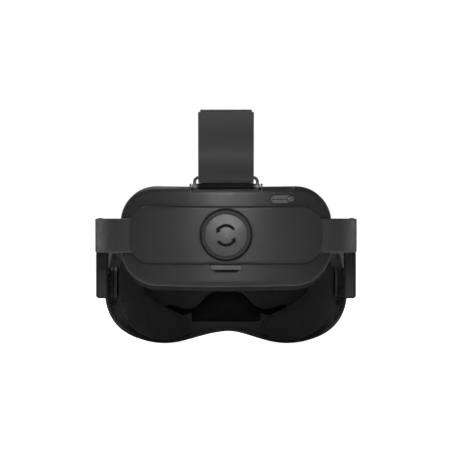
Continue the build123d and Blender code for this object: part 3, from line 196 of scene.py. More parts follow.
def webbing(name, tone):
    """Woven strap: ribs across, warp threads along with painted shade between them, fuzz and faded patches. Reads
    the UV map in metres.
    """
    s = Shade(name, Sheen_Weight=0.05, Sheen_Roughness=0.5, Specular_IOR_Level=0.15)
    uv = s.add("UVMap", uv_map="cloth").outputs["UV"]
    split = s.add("SeparateXYZ", links={"Vector": uv})
    across, along = split.outputs["X"], split.outputs["Y"]
    warp = s.math("SINE", s.math("MULTIPLY", across, 2 * math.pi / WARP))
    weft = s.math("SINE", s.math("MULTIPLY", along, 2 * math.pi / WEFT))
    weave = s.math("MULTIPLY", warp, weft)
    thread = s.ramp(weave, 0.0, 1.0, -1.0, 1.0)
    cloud = s.noise(35, 5, 0.6)
    base = s.ramp(cloud, grey(tone * 0.82), grey(tone * 1.2))
    row = s.ramp(s.noise(1.0, 2, 0.5, s.scaled((30, 900, 1), uv)), 0.0, 0.35)
    base = s.blend(row, base, grey(tone * 1.5))
    # painted shade: the low places between the threads are coloured darker
    s.set("Base Color", s.blend(s.ramp(thread, 0.4, 0.0), base, grey(tone * 0.45)))
    s.set("Roughness", s.ramp(cloud, 0.74, 0.9))
    s.bump(thread, 0.00022, 0.7)
    s.bump(s.noise(2600, 2), 0.00008, 0.6)
    return s.material


def metal(name, tone, rough=0.35, stretch=(30, 30, 900)):
    """Metal with fine brushing along one direction."""
    s = Shade(name, Metallic=1.0)
    brushed = s.noise(1.0, 4, 0.6, s.scaled(stretch))
    s.set("Base Color", s.ramp(brushed, grey(tone * 0.85), grey(tone * 1.12)))
    s.set("Roughness", s.ramp(brushed, rough - 0.07, rough + 0.08))
    s.bump(brushed, 0.00003, 0.5)
    return s.material


def coated(name, tone, rough=0.45):
    """Black powder-coated metal."""
    s = Shade(name, Metallic=0.1, Coat_Weight=0.05, Coat_Roughness=0.35, Specular_IOR_Level=0.2)
    cloud = s.noise(180, 4, 0.6)
    s.set("Base Color", s.ramp(cloud, grey(tone * 0.8), grey(tone * 1.25)))
    s.set("Roughness", s.ramp(cloud, rough - 0.08, rough + 0.1))
    s.bump(s.noise(1400, 3), 0.00005)
    return s.material


def gloss(name, tone, rough=0.12):
    """Polished black plastic or display glass with faint wipe marks."""
    s = Shade(name, Coat_Weight=0.6, Coat_Roughness=0.05, Specular_IOR_Level=0.5)
    smear = s.noise(1.0, 5, 0.6, s.scaled((12, 12, 60)))
    s.set("Base Color", s.ramp(smear, grey(tone), grey(tone * 1.3)))
    s.set("Roughness", s.ramp(smear, rough * 0.7, rough * 1.7))
    s.bump(s.noise(9, 2), 0.00004)
    return s.material


LENS_STEP = 0.0007


def lens_glass(name, centres):
    """A coated lens with fine concentric steps about the nearer of its centres."""
    s = Shade(name, Transmission_Weight=0.55, Roughness=0.03, IOR=1.5, Coat_Weight=0.4)
    steps = s.math("FRACT", s.math("MULTIPLY", s.nearest(centres), 1 / LENS_STEP))
    tint = s.ramp(s.noise(40, 2), (0.05, 0.045, 0.075), (0.09, 0.08, 0.11))
    s.set("Base Color", tint)
    s.bump(steps, 0.00006, 0.6)
    return s.material


def board(name):
    """Printed circuit board: solder mask over tracks, with small bright pads."""
    s = Shade(name, Specular_IOR_Level=0.5)
    turned = s.add("Mapping", {"Rotation": (math.pi / 2, 0, 0)}, {"Vector": s.place}).outputs["Vector"]
    brick = s.add("TexBrick", {"Scale": 220.0, "Mortar Size": 0.02}, {"Vector": turned})
    brick.inputs["Color1"].default_value = (0.008, 0.05, 0.03, 1)
    brick.inputs["Color2"].default_value = (0.012, 0.07, 0.04, 1)
    brick.inputs["Mortar"].default_value = (0.03, 0.14, 0.08, 1)
    pads = s.ramp(s.noise(420, 1), 0.0, 1.0, 0.70, 0.72)
    s.set("Base Color", s.blend(pads, brick.outputs["Color"], (0.45, 0.43, 0.36)))
    s.set("Roughness", s.ramp(pads, 0.45, 0.3))
    s.bump(brick.outputs["Fac"], 0.00004)
    return s.material


def ring_metal(name, tone, ball_highlight_tone, ends):
    """Black wire whose round ends carry a painted highlight: a lighter colour, and less rough."""
    s = Shade(name, Specular_IOR_Level=0.25)
    ball = s.ramp(s.nearest(ends), 1.0, 0.0, 0.0021, 0.0023)
    cloud = s.noise(220, 4, 0.6)
    base = s.ramp(cloud, grey(tone * 0.8), grey(tone * 1.25))
    # painted highlight: the round ends are coloured lighter
    s.set("Base Color", s.blend(ball, base, grey(ball_highlight_tone)))
    s.set("Roughness", s.ramp(ball, 0.55, 0.3, 0.0, 1.0))
    s.bump(s.noise(1400, 3), 0.00004)
    return s.material


MATERIALS = {
    "visor_shell": plastic("visor_shell_look", 0.024, 0.46),
    "front_gloss": gloss("front_gloss_look", 0.006),
    "housing": plastic("housing_look", 0.008, 0.45, specular=0.2),
    "housing_inner": plastic("housing_inner_look", 0.016, 0.6, specular=0.2),
    "dial_plastic": plastic("dial_look", 0.008, 0.48, 1300, specular=0.33),
    # partly the clip's own grey, partly a painted highlight: its tone is raised for the light that its inner face
    # catches
    "clip_plastic": plastic("clip_with_painted_highlight_look", 0.075, 0.45),
    "band_plastic": plastic("band_look", 0.014, 0.46),
    "cushion_cover": leather("cushion_look", 0.013),
    "webbing": webbing("webbing_look", 0.010),
    "dark_metal": coated("dark_metal_look", 0.004, 0.5),
    "steel": metal("steel_look", 0.35),
    "aluminium_part": metal("aluminium_look", 0.5, 0.4, (900, 30, 30)),
    "lens_glass": lens_glass("lens_look", [(s * EYE_X, EYE_Y, EYE_Z) for s in (1, -1)]),
    "window_glass": gloss("window_look", 0.010, 0.2),
    "circuit": board("board_look"),
    "chip_black": gloss("display_look", 0.006),
    "fan_plastic": plastic("fan_look", 0.012, 0.4),
    "ring_wire": ring_metal(
        "ring_wire_look", 0.003, 0.04, [PIVOT + Vector((s * RING_END, 0, 0)) for s in (1, -1)]
    ),
    "button": plastic("button_look", 0.022, 0.16, 1500, 0.00001, 0.1, 0.5),
    "pill": plastic("pill_look", 0.035, 0.32, 1500, 0.00001, specular=0.4),
    "dial_edge": plastic("dial_edge_look", 0.005, 0.52, 1300, specular=0.1),
    # the dial's printed mark, and the near-black sleeve that paints shade on the ring's bar
    "mark_and_shade_black": plastic("mark_and_shade_look", 0.002, 0.7, 1300, specular=0.04),
    # also the look of the dark pieces that paint shade round the dial, round the status window and in the nose
    # pocket
    "rubber_part": plastic("rubber_and_painted_shade_look", 0.006, 0.8, 1500, 0.00005, specular=0.2),
}
# pieces whose look isn't that of their slot
LOOKS = {
    "status_window": "pill", "charge_port": "rubber_part", "battery_latch": "dial_plastic",
    "speaker_screws": "housing", "status_button": "button", "strap_ring": "ring_wire",
    "dial_ring": "dial_edge", "latch_dust_plate": "dial_edge", "dial_turn_mark": "mark_and_shade_black",
    "ring_bar_painted_shade": "mark_and_shade_black",
}
slots = {part["node"]: part["material_slot"] for part in frame["record"]["subparts"]}
for name, node in nodes.items():
    for place in node.material_slots:
        place.link = "OBJECT"
        place.material = MATERIALS[LOOKS.get(name, slots[name])]


# ---------------------------------------------------------------- mesh tools
def make(name, vertices, faces, slot, smooth=True):
    """A mesh object with the look of one of the record's material slots."""
    mesh = bpy.data.meshes.new(name)
    mesh.from_pydata([tuple(v) for v in vertices], [], faces)
    shape = bmesh.new()
    shape.from_mesh(mesh)
    bmesh.ops.recalc_face_normals(shape, faces=shape.faces)
    shape.to_mesh(mesh)
    shape.free()
    obj = bpy.data.objects.new(name, mesh)
    scene.collection.objects.link(obj)
    finish_look(obj, slot, smooth)
    return obj


def finish_look(obj, slot, smooth=True):
    """Gives an object its look, by its name or by a slot, and its shading."""
    obj.data.materials.clear()
    obj.data.materials.append(MATERIALS[LOOKS.get(obj.name, slot)])
    obj.data.polygons.foreach_set("use_smooth", [smooth] * len(obj.data.polygons))


def run_of(line):
    """How far each point of a line is from its start, along it."""
    return np.concatenate(([0], np.cumsum(np.linalg.norm(np.diff(line, axis=0), axis=1))))


def round_angles(count):
    """Equally spaced angles round a circle."""
    return [2 * math.pi * k / count for k in range(count)]


def spline(points, step, closed=False):
    """Points about a step apart on the smooth curve through the given points."""
    p = np.array(points, float)
    count = len(p)
    if closed:
        p = np.concatenate((p[-4:], p, p[:5]))
    t = run_of(p)
    h = np.diff(t)
    n = len(p)
    a = np.eye(n)
    b = np.zeros_like(p)
    for i in range(1, n - 1):
        a[i, i - 1], a[i, i], a[i, i + 1] = h[i - 1], 2 * (h[i - 1] + h[i]), h[i]
        b[i] = 6 * ((p[i + 1] - p[i]) / h[i] - (p[i] - p[i - 1]) / h[i - 1])
    m = np.linalg.solve(a, b)
    first, last = (t[4], t[4 + count]) if closed else (0, t[-1])
    at = np.linspace(first, last, max(8, int((last - first) / step * 4)))
    k = np.clip(np.searchsorted(t, at) - 1, 0, n - 2)
    u, v = (t[k + 1] - at)[:, None], (at - t[k])[:, None]
    g = h[k][:, None]
    line = (m[k] * u**3 + m[k + 1] * v**3) / (6 * g)
    line += (p[k] / g - m[k] * g / 6) * u + (p[k + 1] / g - m[k + 1] * g / 6) * v
    run = run_of(line)
    even = np.linspace(0, run[-1], max(3, int(round(run[-1] / step)) + 1))
    result = np.stack([np.interp(even, run, line[:, c]) for c in range(p.shape[1])], axis=1)
    return result[:-1] if closed else result


def cross_axes(line, up, closed=False):
    """For each point of a line: a side direction square to it and to up, and the direction square to both."""
    if closed:
        ahead = np.roll(line, -1, axis=0) - np.roll(line, 1, axis=0)
    else:
        ahead = np.gradient(line, axis=0)
    ahead /= np.linalg.norm(ahead, axis=1)[:, None]
    side = np.cross(ahead, np.array(up, float))
    side /= np.linalg.norm(side, axis=1)[:, None]
    return side, np.cross(side, ahead)


def loft(name, rings, slot, closed_loop=False):
    """A closed surface through rings of equal point count, capped at its ends unless it runs round a loop."""
    count = len(rings[0])
    vertices = np.concatenate(rings)
    faces = []
    total = len(rings)
    for i in range(total if closed_loop else total - 1):
        j = (i + 1) % total
        for k in range(count):
            m = (k + 1) % count
            faces.append((i * count + k, i * count + m, j * count + m, j * count + k))
    if not closed_loop:
        faces.append(tuple(reversed(range(count))))
        faces.append(tuple(range((total - 1) * count, total * count)))
    return make(name, vertices, faces, slot)


def tube(name, line, radius, slot, up=(0, 0, 1), closed=False, sides=10):
    """A round tube along a line."""
    side, third = cross_axes(line, up, closed)
    rings = []
    for p, a, b in zip(line, side, third):
        rings.append(np.array([p + radius * (math.cos(g) * a + math.sin(g) * b) for g in round_angles(sides)]))
    return loft(name, rings, slot, closed_loop=closed)


def ribbon(name, line, width, thick, slot, width_axis, widen=None):
    """A strap with rounded edges along a line, its width along width_axis. UVs in metres.

    widen holds a factor on the width at each point.
    """
    half = width / 2
    across = 14
    bead = thick / 2
    section = []
    for k in range(across + 1):
        section.append((-half + bead + (width - 2 * bead) * k / across, bead))
    for k in range(1, 6):
        angle = math.pi / 2 - math.pi * k / 6
        section.append((half - bead + bead * math.cos(angle), bead * math.sin(angle)))
    for k in range(across + 1):
        section.append((half - bead - (width - 2 * bead) * k / across, -bead))
    for k in range(1, 6):
        angle = -math.pi / 2 - math.pi * k / 6
        section.append((-half + bead + bead * math.cos(angle), bead * math.sin(angle)))
    wide = np.array(width_axis, float)
    ahead = np.gradient(line, axis=0)
    ahead /= np.linalg.norm(ahead, axis=1)[:, None]
    rings = []
    widen = np.ones(len(line)) if widen is None else widen
    for p, d, w in zip(line, ahead, widen):
        normal = np.cross(wide, d)
        normal /= np.linalg.norm(normal)
        rings.append(np.array([p + wide * s * w + normal * h for s, h in section]))
    obj = loft(name, rings, slot)
    run = run_of(line)
    uv = obj.data.uv_layers.new(name="cloth")
    count = len(section)
    for loop in obj.data.loops:
        i, k = divmod(loop.vertex_index, count)
        uv.data[loop.index].uv = (section[k][0], run[i])
    return obj


def surface_of(obj):
    """A search tree of an object's final surface."""
    graph = bpy.context.evaluated_depsgraph_get()
    return BVHTree.FromObject(obj, graph)


def settle(line, tree):
    """Moves a line's points onto a surface, and gives the surface's normals there."""
    result = []
    normals = []
    for p in line:
        spot, normal, _, _ = tree.find_nearest(Vector(p))
        result.append(np.array(spot))
        normals.append(np.array(normal))
    return np.array(result), np.array(normals)


def smooth_line(line, rounds, closed):
    """Evens out a line that was settled on a coarse surface."""
    for _ in range(rounds):
        middle = (np.roll(line, 1, axis=0) + np.roll(line, -1, axis=0)) / 2
        if not closed:
            middle[0], middle[-1] = line[0], line[-1]
        line = (line + middle) / 2
    return line


def stitches(name, line, normals, slot, long=0.0026, gap=0.0012, radius=0.00026, sink=0.00008):
    """A row of thread stitches along a line on a surface."""
    run = run_of(line)
    count = max(1, int(run[-1] / (long + gap)))
    vertices, faces = [], []
    rows, sides = 5, 6
    for n in range(count):
        middle = (n + 0.5) * run[-1] / count
        first = len(vertices)
        for r in range(rows):
            f = r / (rows - 1)
            at = middle + (f - 0.5) * long
            p = np.array([np.interp(at, run, line[:, c]) for c in range(3)])
            q = np.array([np.interp(at + 0.0002, run, line[:, c]) for c in range(3)])
            normal = np.array([np.interp(at, run, normals[:, c]) for c in range(3)])
            normal /= np.linalg.norm(normal)
            ahead = (q - p) / max(np.linalg.norm(q - p), 1e-9)
            side = np.cross(ahead, normal)
            arch = math.sin(math.pi * f)
            thick = radius * (0.45 + 0.55 * arch)
            centre = p + normal * (radius * 1.1 * arch - sink)
            for angle in round_angles(sides):
                vertices.append(centre + thick * (math.cos(angle) * side + math.sin(angle) * normal))
        for r in range(rows - 1):
            for k in range(sides):
                m = (k + 1) % sides
                a, b = first + r * sides, first + (r + 1) * sides
                faces.append((a + k, a + m, b + m, b + k))
        faces.append(tuple(first + k for k in reversed(range(sides))))
        faces.append(tuple(first + (rows - 1) * sides + k for k in range(sides)))
    return make(name, vertices, faces, slot)


# ---------------------------------------------------------------- cushions
def points_of(mesh):
    co = np.zeros(len(mesh.vertices) * 3, np.float32)
    mesh.vertices.foreach_get("co", co)
    return co.reshape(-1, 3).astype(float)


def write_points(mesh, co):
    mesh.vertices.foreach_set("co", co.astype(np.float32).ravel())
    mesh.update()


def normals_of(mesh):
    no = np.zeros(len(mesh.vertices) * 3, np.float32)
    mesh.vertices.foreach_get("normal", no)
    return no.reshape(-1, 3).astype(float)


def settle_modifiers(obj):
    """Turns what an object's modifiers make into its own mesh."""
    graph = bpy.context.evaluated_depsgraph_get()
    mesh = bpy.data.meshes.new_from_object(obj.evaluated_get(graph))
    obj.modifiers.clear()
    obj.data = mesh


CLOTH_FRAMES = 20


def stuffed(node, name, voxel, shrink, swell, held, keep_clear, rounds=4):
    """A padded piece from a plain CAD solid: remeshed, drawn in, then blown up like a cover over foam.

    held(co) marks the points that a backing holds still. keep_clear(co) moves points out of other parts' space.
    """
    obj = bpy.data.objects.new(name, nodes[node].data.copy())
    scene.collection.objects.link(obj)
    remesh = obj.modifiers.new("remesh", "REMESH")
    remesh.mode = "VOXEL"
    remesh.voxel_size = voxel
    settle_modifiers(obj)
    smooth = obj.modifiers.new("smooth", "SMOOTH")
    smooth.factor = 0.5
    smooth.iterations = rounds
    settle_modifiers(obj)
    mesh = obj.data
    write_points(mesh, points_of(mesh) - shrink * normals_of(mesh))
    rest = points_of(mesh)
    group = obj.vertex_groups.new(name="held")
    for index in np.nonzero(held(rest))[0]:
        group.add([int(index)], 1.0, "REPLACE")
    cloth = obj.modifiers.new("cloth", "CLOTH")
    setup = cloth.settings
    setup.vertex_group_mass = "held"
    setup.use_pressure = True
    setup.uniform_pressure_force = 4.0
    setup.quality = 6
    setup.tension_stiffness = 15
    setup.compression_stiffness = 15
    setup.bending_stiffness = 0.5
    setup.effector_weights.gravity = 0.0
    cloth.collision_settings.use_collision = False
    for step in range(1, CLOTH_FRAMES + 1):
        scene.frame_set(step)
    settle_modifiers(obj)
    scene.frame_set(1)
    obj.vertex_groups.clear()
    move = points_of(obj.data) - rest
    far = np.linalg.norm(move, axis=1)
    limit = np.minimum(1, swell / np.maximum(far, 1e-9))
    write_points(obj.data, rest + move * limit[:, None])
    fine = obj.modifiers.new("fine", "SUBSURF")
    fine.levels = fine.render_levels = 1
    settle_modifiers(obj)
    write_points(obj.data, keep_clear(points_of(obj.data)))
    return obj


def groove(obj, line, depth, width):
    """Presses a sewn groove along a line into a padded piece."""
    mesh = obj.data
    co = points_of(mesh)
    away = np.full(len(co), 1e9)
    for p in line:
        away = np.minimum(away, np.linalg.norm(co - p, axis=1))
    write_points(mesh, co - (depth * np.exp(-((away / width) ** 2)))[:, None] * normals_of(mesh))


PAD_VOXEL = 0.0034
SEAM_DEPTH, SEAM_WIDTH, PIPING_RADIUS = 0.0009, 0.0016, 0.0007

# the face cushion, in mm: its face side is curved about an upright axis
FACE_CURVE = 140.0
FACE_AXIS_Y = 72.0
FACE_SEAM, FACE_STITCHES = 6.5, 9.2
HALF_OUTLINE = [
    (0, 80), (24, 79.6), (46, 77), (62, 69), (68.5, 56), (64, 42), (52, 32), (38, 26), (29, 19),
    (27.6, 11), (34, 4.6), (48, 1.9), (65, 5.4), (79.5, 18), (86, 38), (85.8, 60), (78.5, 80), (60, 92.5),
    (32, 97), (0, 97.5),
]
OUTLINE = HALF_OUTLINE + [(-x, z) for x, z in reversed(HALF_OUTLINE[1:-1])]


def face_loop(back):
    """The face cushion's outline, at a distance ahead of its face side."""
    line = []
    for x, z in spline(OUTLINE, 1.6, True):
        y = FACE_AXIS_Y - math.sqrt(FACE_CURVE**2 - x**2) - back
        line.append((x * MM, y * MM, z * MM))
    return np.array(line)


# the space that the gasket frame, its ears and the floor leave, and where the backing ends, in metres
FRAME_Y, EAR_X, FLOOR_Z, BACKING_Y = -0.0878, 0.0869, 0.0012, -0.0845


def face_clear(co):
    """Keeps the face cushion behind the gasket frame, off the ears at its sides and above the floor."""
    co[:, 1] = np.maximum(co[:, 1], FRAME_Y)
    co[:, 0] = np.clip(co[:, 0], -EAR_X, EAR_X)
    co[:, 2] = np.maximum(co[:, 2], FLOOR_Z)
    return co


face = stuffed(
    "face_cushion", "face_pad", PAD_VOXEL, shrink=0.0014, swell=0.0034,
    held=lambda co: co[:, 1] < BACKING_Y, keep_clear=face_clear,
)
finish_look(face, "cushion_cover")
face_seam = face_loop(FACE_SEAM)
groove(face, face_seam, SEAM_DEPTH, SEAM_WIDTH)
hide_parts("face_cushion")
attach(face, "gasket")

tree = surface_of(face)
line, normals = settle(face_seam, tree)
line = smooth_line(line, 3, True)
face_piping = tube("face_pad_piping", line, PIPING_RADIUS, "cushion_cover", (0, 1, 0), True, 8)
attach(face_piping, "gasket")
line, normals = settle(face_loop(FACE_STITCHES), tree)
face_stitch = stitches("face_pad_stitches", smooth_line(line, 2, True), normals, "cushion_cover")
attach(face_stitch, "gasket")


def on_rear(x, v, radius, axis_depth):
    """The rear unit's point at a sideways place x and height v, on a face curved about an upright axis, in mm."""
    depth = axis_depth - math.sqrt(radius**2 - x**2)
    return np.array(REAR + Vector((x * MM, 0, 0)) + UP * (v * MM) - OUT * (depth * MM))


# the rear cushion, in mm: depth of the head's axis, radii about it of the cushion's back, its seam and its channels
HEAD_AXIS = 125.0
PAD_OUTER = 98.7
PAD_BACKING = 2.4
SEAM_RADIUS, CHANNEL_RADIUS = 88.5, 85
CHANNEL_X, CHANNEL_TOP = 24, 31
CHANNEL_DEPTH, CHANNEL_WIDTH = 0.0030, 0.0032


def about_head(co):
    """The depth of each point behind the rear unit's face and its distance from the head's axis, in mm."""
    local = co - np.array(REAR)
    depth = -(local @ np.array(OUT)) / MM
    return depth, np.sqrt((co[:, 0] / MM) ** 2 + (HEAD_AXIS - depth) ** 2)


def pad_held(co):
    _, radius = about_head(co)
    return radius > PAD_OUTER - PAD_BACKING


def pad_clear(co):
    """Keeps the rear cushion off the inner shell."""
    depth, radius = about_head(co)
    over = np.maximum(radius - PAD_OUTER, 0) * MM
    away = np.stack([co[:, 0] / MM, (HEAD_AXIS - depth) * OUT.y, (HEAD_AXIS - depth) * OUT.z], axis=1)
    away /= np.linalg.norm(away, axis=1)[:, None]
    return co - away * over[:, None]


rear_pad = stuffed(
    "rear_cushion", "rear_pad", PAD_VOXEL, shrink=0.0010, swell=0.0036, held=pad_held, keep_clear=pad_clear
)
finish_look(rear_pad, "cushion_cover")


def rounded_loop(width, height, corner, radius):
    """A rounded rectangle drawn on a curved face of the rear unit."""
    points = []
    for sx, sv, turn in ((1, 1, 0), (-1, 1, 90), (-1, -1, 180), (1, -1, 270)):
        for k in range(7):
            angle = math.radians(turn + 15 * k)
            x = sx * (width / 2 - corner) + corner * math.cos(angle)
            v = sv * (height / 2 - corner) + corner * math.sin(angle)
            points.append((x, v))
    flat = spline(points, 2.0, True)
    return np.array([on_rear(x, v, radius, HEAD_AXIS) for x, v in flat])


pad_seam = rounded_loop(width=134, height=67, corner=25, radius=SEAM_RADIUS)
groove(rear_pad, pad_seam, SEAM_DEPTH, SEAM_WIDTH)
channels = []
for x in (-CHANNEL_X, CHANNEL_X):
    heights = np.linspace(-CHANNEL_TOP, CHANNEL_TOP, 40)
    channel = np.array([on_rear(x, v, CHANNEL_RADIUS, HEAD_AXIS) for v in heights])
    groove(rear_pad, channel, CHANNEL_DEPTH, CHANNEL_WIDTH)
    channels.append(channel)
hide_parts("rear_cushion")
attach(rear_pad, "rear_unit")
tree = surface_of(rear_pad)
line, normals = settle(pad_seam, tree)
line = smooth_line(line, 3, True)
rear_piping = tube("rear_pad_piping", line, PIPING_RADIUS, "cushion_cover", tuple(OUT), True, 8)
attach(rear_piping, "rear_unit")
for number, channel in enumerate(channels):
    line, normals = settle(channel, tree)
    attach(stitches(f"rear_pad_stitches_{number}", line, normals, "webbing"), "rear_unit")

# ---------------------------------------------------------------- top strap
STRAP_WIDTH = 40.0
STRAP_THICK = 1.4
OVER_HEAD = [
    (-93.5, 106), (-91, 119), (-76, 141), (-50, 165), (-20, 180.5), (10, 184.6), (45, 180), (82, 166),
    (112, 148.5),
]
LAP_Y = 86.0  # end of the front half, under the rear half
TAIL_Y = 46.0  # end of the rear half, over the front half
LAYER = STRAP_THICK + 0.3


def lifted(points, lift):
    """A line in the middle plane moved off itself by lift, in mm."""
    p = np.array(points, float)
    run = np.gradient(p, axis=0)
    run[1:-1] = p[2:] - p[:-2]
    run /= np.linalg.norm(run, axis=1)[:, None]
    return p + lift * np.stack([-run[:, 1], run[:, 0]], axis=1)


def in_middle(points):
    return np.array([(0, y * MM, z * MM) for y, z in points])


front_line = spline(OVER_HEAD, 0.4)
front_line = front_line[front_line[:, 0] < LAP_Y]
front_strap = ribbon(
    "strap_front_web", in_middle(front_line), STRAP_WIDTH * MM, STRAP_THICK * MM, "webbing", (1, 0, 0)
)
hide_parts("strap_front")
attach(front_strap, "visor")

RING_TOP = (PIVOT.y / MM, PIVOT.z / MM + 6.2)  # middle of the wire that the strap goes round
WRAP = 2.5  # strap's middle line round the ring's wire
SAG = 0.8  # how far the loop hangs under the wire's middle
WRAP_START, WRAP_SWEEP, WRAP_STEPS = 35, 190, 7
RETURN = (125.5, 138.6)  # where the strap comes back under itself
upper = lifted(OVER_HEAD, LAYER)[4:]
turn = []
for k in range(WRAP_STEPS + 1):
    angle = math.radians(WRAP_START) - math.radians(WRAP_SWEEP) * k / WRAP_STEPS
    turn.append((RING_TOP[0] + WRAP * math.cos(angle), RING_TOP[1] - SAG + WRAP * math.sin(angle)))
back_end = tuple(lifted(OVER_HEAD, -0.2)[-1])
rear_line = spline([tuple(p) for p in upper] + turn + [RETURN, back_end], 0.4)
rear_line = rear_line[int(np.argmax(rear_line[:, 0] > TAIL_Y)):]
TAIL_WIDE, RING_WIDE = 42.6 / STRAP_WIDTH, 40.4 / STRAP_WIDTH  # the strap narrows towards the ring
run = np.linspace(0, 1, len(rear_line))
rear_strap = ribbon(
    "strap_rear_web", in_middle(rear_line), STRAP_WIDTH * MM, STRAP_THICK * MM, "webbing", (1, 0, 0),
    widen=TAIL_WIDE + (RING_WIDE - TAIL_WIDE) * np.minimum(1, run / 0.75),
)
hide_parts("strap_rear")
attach(rear_strap, "rear_unit")


# ---------------------------------------------------------------- flexible bands
BAND_PATH = [
    (52, 128.8), (60, 126.4), (70, 121), (82.5, 110), (91.5, 96.5), (95.8, 83), (97.2, 66.2),
]
BAND_LOW, BAND_HIGH, BAND_THICK = 75.3, 100.6, 2.4
for side, name in ((1, "left_band"), (-1, "right_band")):
    flat = spline(BAND_PATH, 0.8)
    middle = (BAND_LOW + BAND_HIGH) / 2
    line = np.array([(side * x * MM, y * MM, middle * MM) for x, y in flat])
    wide = (BAND_HIGH - BAND_LOW) * MM
    band = ribbon(name + "_strip", line, wide, BAND_THICK * MM, "band_plastic", (0, 0, 1))
    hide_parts(name)
    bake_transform(band)

# ---------------------------------------------------------------- mark on the dial
DIAL_AT = REAR + UP * (DIAL_V * MM)
DOME_TOP, DOME_RADIUS = 7.3, 62.0
MARK_SUNK, MARK_PROUD = -0.3, 0.1
SIDE = Vector((-1, 0, 0))


def dial_point(x, v, out):
    """A point in the dial's own frame, in mm."""
    return np.array(DIAL_AT + SIDE * (x * MM) + UP * (v * MM) + OUT * (out * MM))


def turn_arrow(start):
    """A curved arrow's two edges and its head, as (radius, degrees) round the dial from a start angle."""
    inner, outer = 6.0, 8.2
    middle = (inner + outer) / 2
    sweep, steps = 105, 22
    barb, tip = 2.3, 28
    left = [(outer, start + sweep * k / steps) for k in range(steps + 1)]
    right = [(inner, start + sweep * k / steps) for k in range(steps + 1)]
    head = [(middle + barb, start + sweep), (middle, start + sweep + tip), (middle - barb, start + sweep)]
    return left, right, head


def on_dome(radius, angle, over):
    """A point over the dial's dome, at a radius and an angle in degrees."""
    drop = DOME_RADIUS - math.sqrt(DOME_RADIUS**2 - radius**2)
    turned = math.radians(angle)
    return dial_point(radius * math.cos(turned), radius * math.sin(turned), DOME_TOP - drop + over)


mark_points, mark_faces = [], []
for start in (35, 215):
    left, right, head = turn_arrow(start)
    first = len(mark_points)
    for a, b in zip(left, right):
        for place, over in ((a, MARK_SUNK), (a, MARK_PROUD), (b, MARK_PROUD), (b, MARK_SUNK)):
            mark_points.append(on_dome(*place, over))
    last = first + 4 * (len(left) - 1)
    for base in range(first, last, 4):
        for c in range(4):
            d = (c + 1) % 4
            mark_faces.append((base + c, base + d, base + 4 + d, base + 4 + c))
    mark_faces.append((first, first + 3, first + 2, first + 1))
    mark_faces.append((last, last + 1, last + 2, last + 3))
    first = len(mark_points)
    for over in (MARK_PROUD, MARK_SUNK):
        for place in head:
            mark_points.append(on_dome(*place, over))
    mark_faces += [
        (first, first + 1, first + 2), (first + 5, first + 4, first + 3),
        (first, first + 3, first + 4, first + 1), (first + 1, first + 4, first + 5, first + 2),
        (first + 2, first + 5, first + 3, first),
    ]
mark = make("dial_turn_mark", mark_points, mark_faces, "rubber_part", False)
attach(mark, "fit_dial")

# ---------------------------------------------------------------- small black parts of the rear unit, and dark pieces that paint shade on it
SHELL_RADIUS = 109.5
COVER_RADIUS = 128.6

# dark rings round the dial, painted shade in its well, on the well's rim and in the gap round the knob: closed
# profiles, as (radius, height over the face) in mm
WELL = [(17.95, 1.05), (19.1, 1.05), (19.1, 3.0), (18.9, 3.1), (18.75, 1.5), (17.95, 1.4)]
WELL_RIM = [(19.0, -0.6), (19.0, 0.1), (19.75, 0.1), (19.75, -0.3)]
DIAL_GAP = [(15.25, 4.6), (15.55, 4.6), (15.55, 5.15), (15.25, 5.15)]
DIAL_SIDES = 72

PLATE_HALF, PLATE_LOW, PLATE_HIGH, PLATE_DEPTH, PLATE_THICK = 9.6, -24.6, -20.6, 3.4, 0.5

PILL_X, PILL_V, PILL_LONG, PILL_TALL = -41.5, 29.6, 17.8, 5.8
# the dark bead round the status window is a painted shadow along its edge
SHADOW_LINE_GROWTH, SHADOW_LINE_RADIUS = 0.1, 0.00032
LIGHT_XS = (-35.0, -37.8, -40.6, -43.4)
LIGHT_RADIUS, LIGHT_SUNK, LIGHT_PROUD, LIGHT_SIDES = 0.55, -0.25, 0.12, 16

# the sleeve on the ring's bar, near-black as painted shade under the strap's loop, as (sideways place, radius) in
# mm
SLEEVE = [(-20.2, 1.7), (-20.2, 2.0), (-19.9, 2.15), (19.9, 2.15), (20.2, 2.0), (20.2, 1.7)]
SLEEVE_SIDES = 32


def on_shell(x, v, over):
    """A point over the rear shell's outer face, at a sideways place x and height v, in mm."""
    depth = SHELL_RADIUS - math.sqrt(SHELL_RADIUS**2 - x**2)
    ray = Vector((x / SHELL_RADIUS, 0, 0)) + OUT * (1 - depth / SHELL_RADIUS)
    return np.array(REAR + Vector((x * MM, 0, 0)) + UP * (v * MM) - OUT * (depth * MM) + ray * (over * MM))


def on_cover(radius, angle, over):
    """A point over the cover's curved face, at a distance and angle round the dial."""
    x = radius * math.cos(angle)
    return on_rear(x, DIAL_V + radius * math.sin(angle), COVER_RADIUS, HEAD_AXIS) + over * MM * np.array(OUT)


def dial_ringlet(name, profile):
    """A ring turned about the dial's axis from a closed profile."""
    rings = []
    for angle in round_angles(DIAL_SIDES):
        ray = SIDE * math.cos(angle) + UP * math.sin(angle)
        rings.append(np.array([DIAL_AT + ray * (r * MM) + OUT * (h * MM) for r, h in profile]))
    return loft(name, rings, "rubber_part", closed_loop=True)


# painted shade: dark rings in the dial's well, on its rim and in the gap round the knob
well_shade = dial_ringlet("dial_well_painted_shade", WELL)
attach(well_shade, "rear_unit")

rim = [np.array([on_cover(r, angle, h) for r, h in WELL_RIM]) for angle in round_angles(DIAL_SIDES)]
well_rim_shade = loft("dial_well_rim_painted_shade", rim, "rubber_part", closed_loop=True)
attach(well_rim_shade, "rear_unit")

gap_shade = dial_ringlet("dial_gap_painted_shade", DIAL_GAP)
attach(gap_shade, "fit_dial")


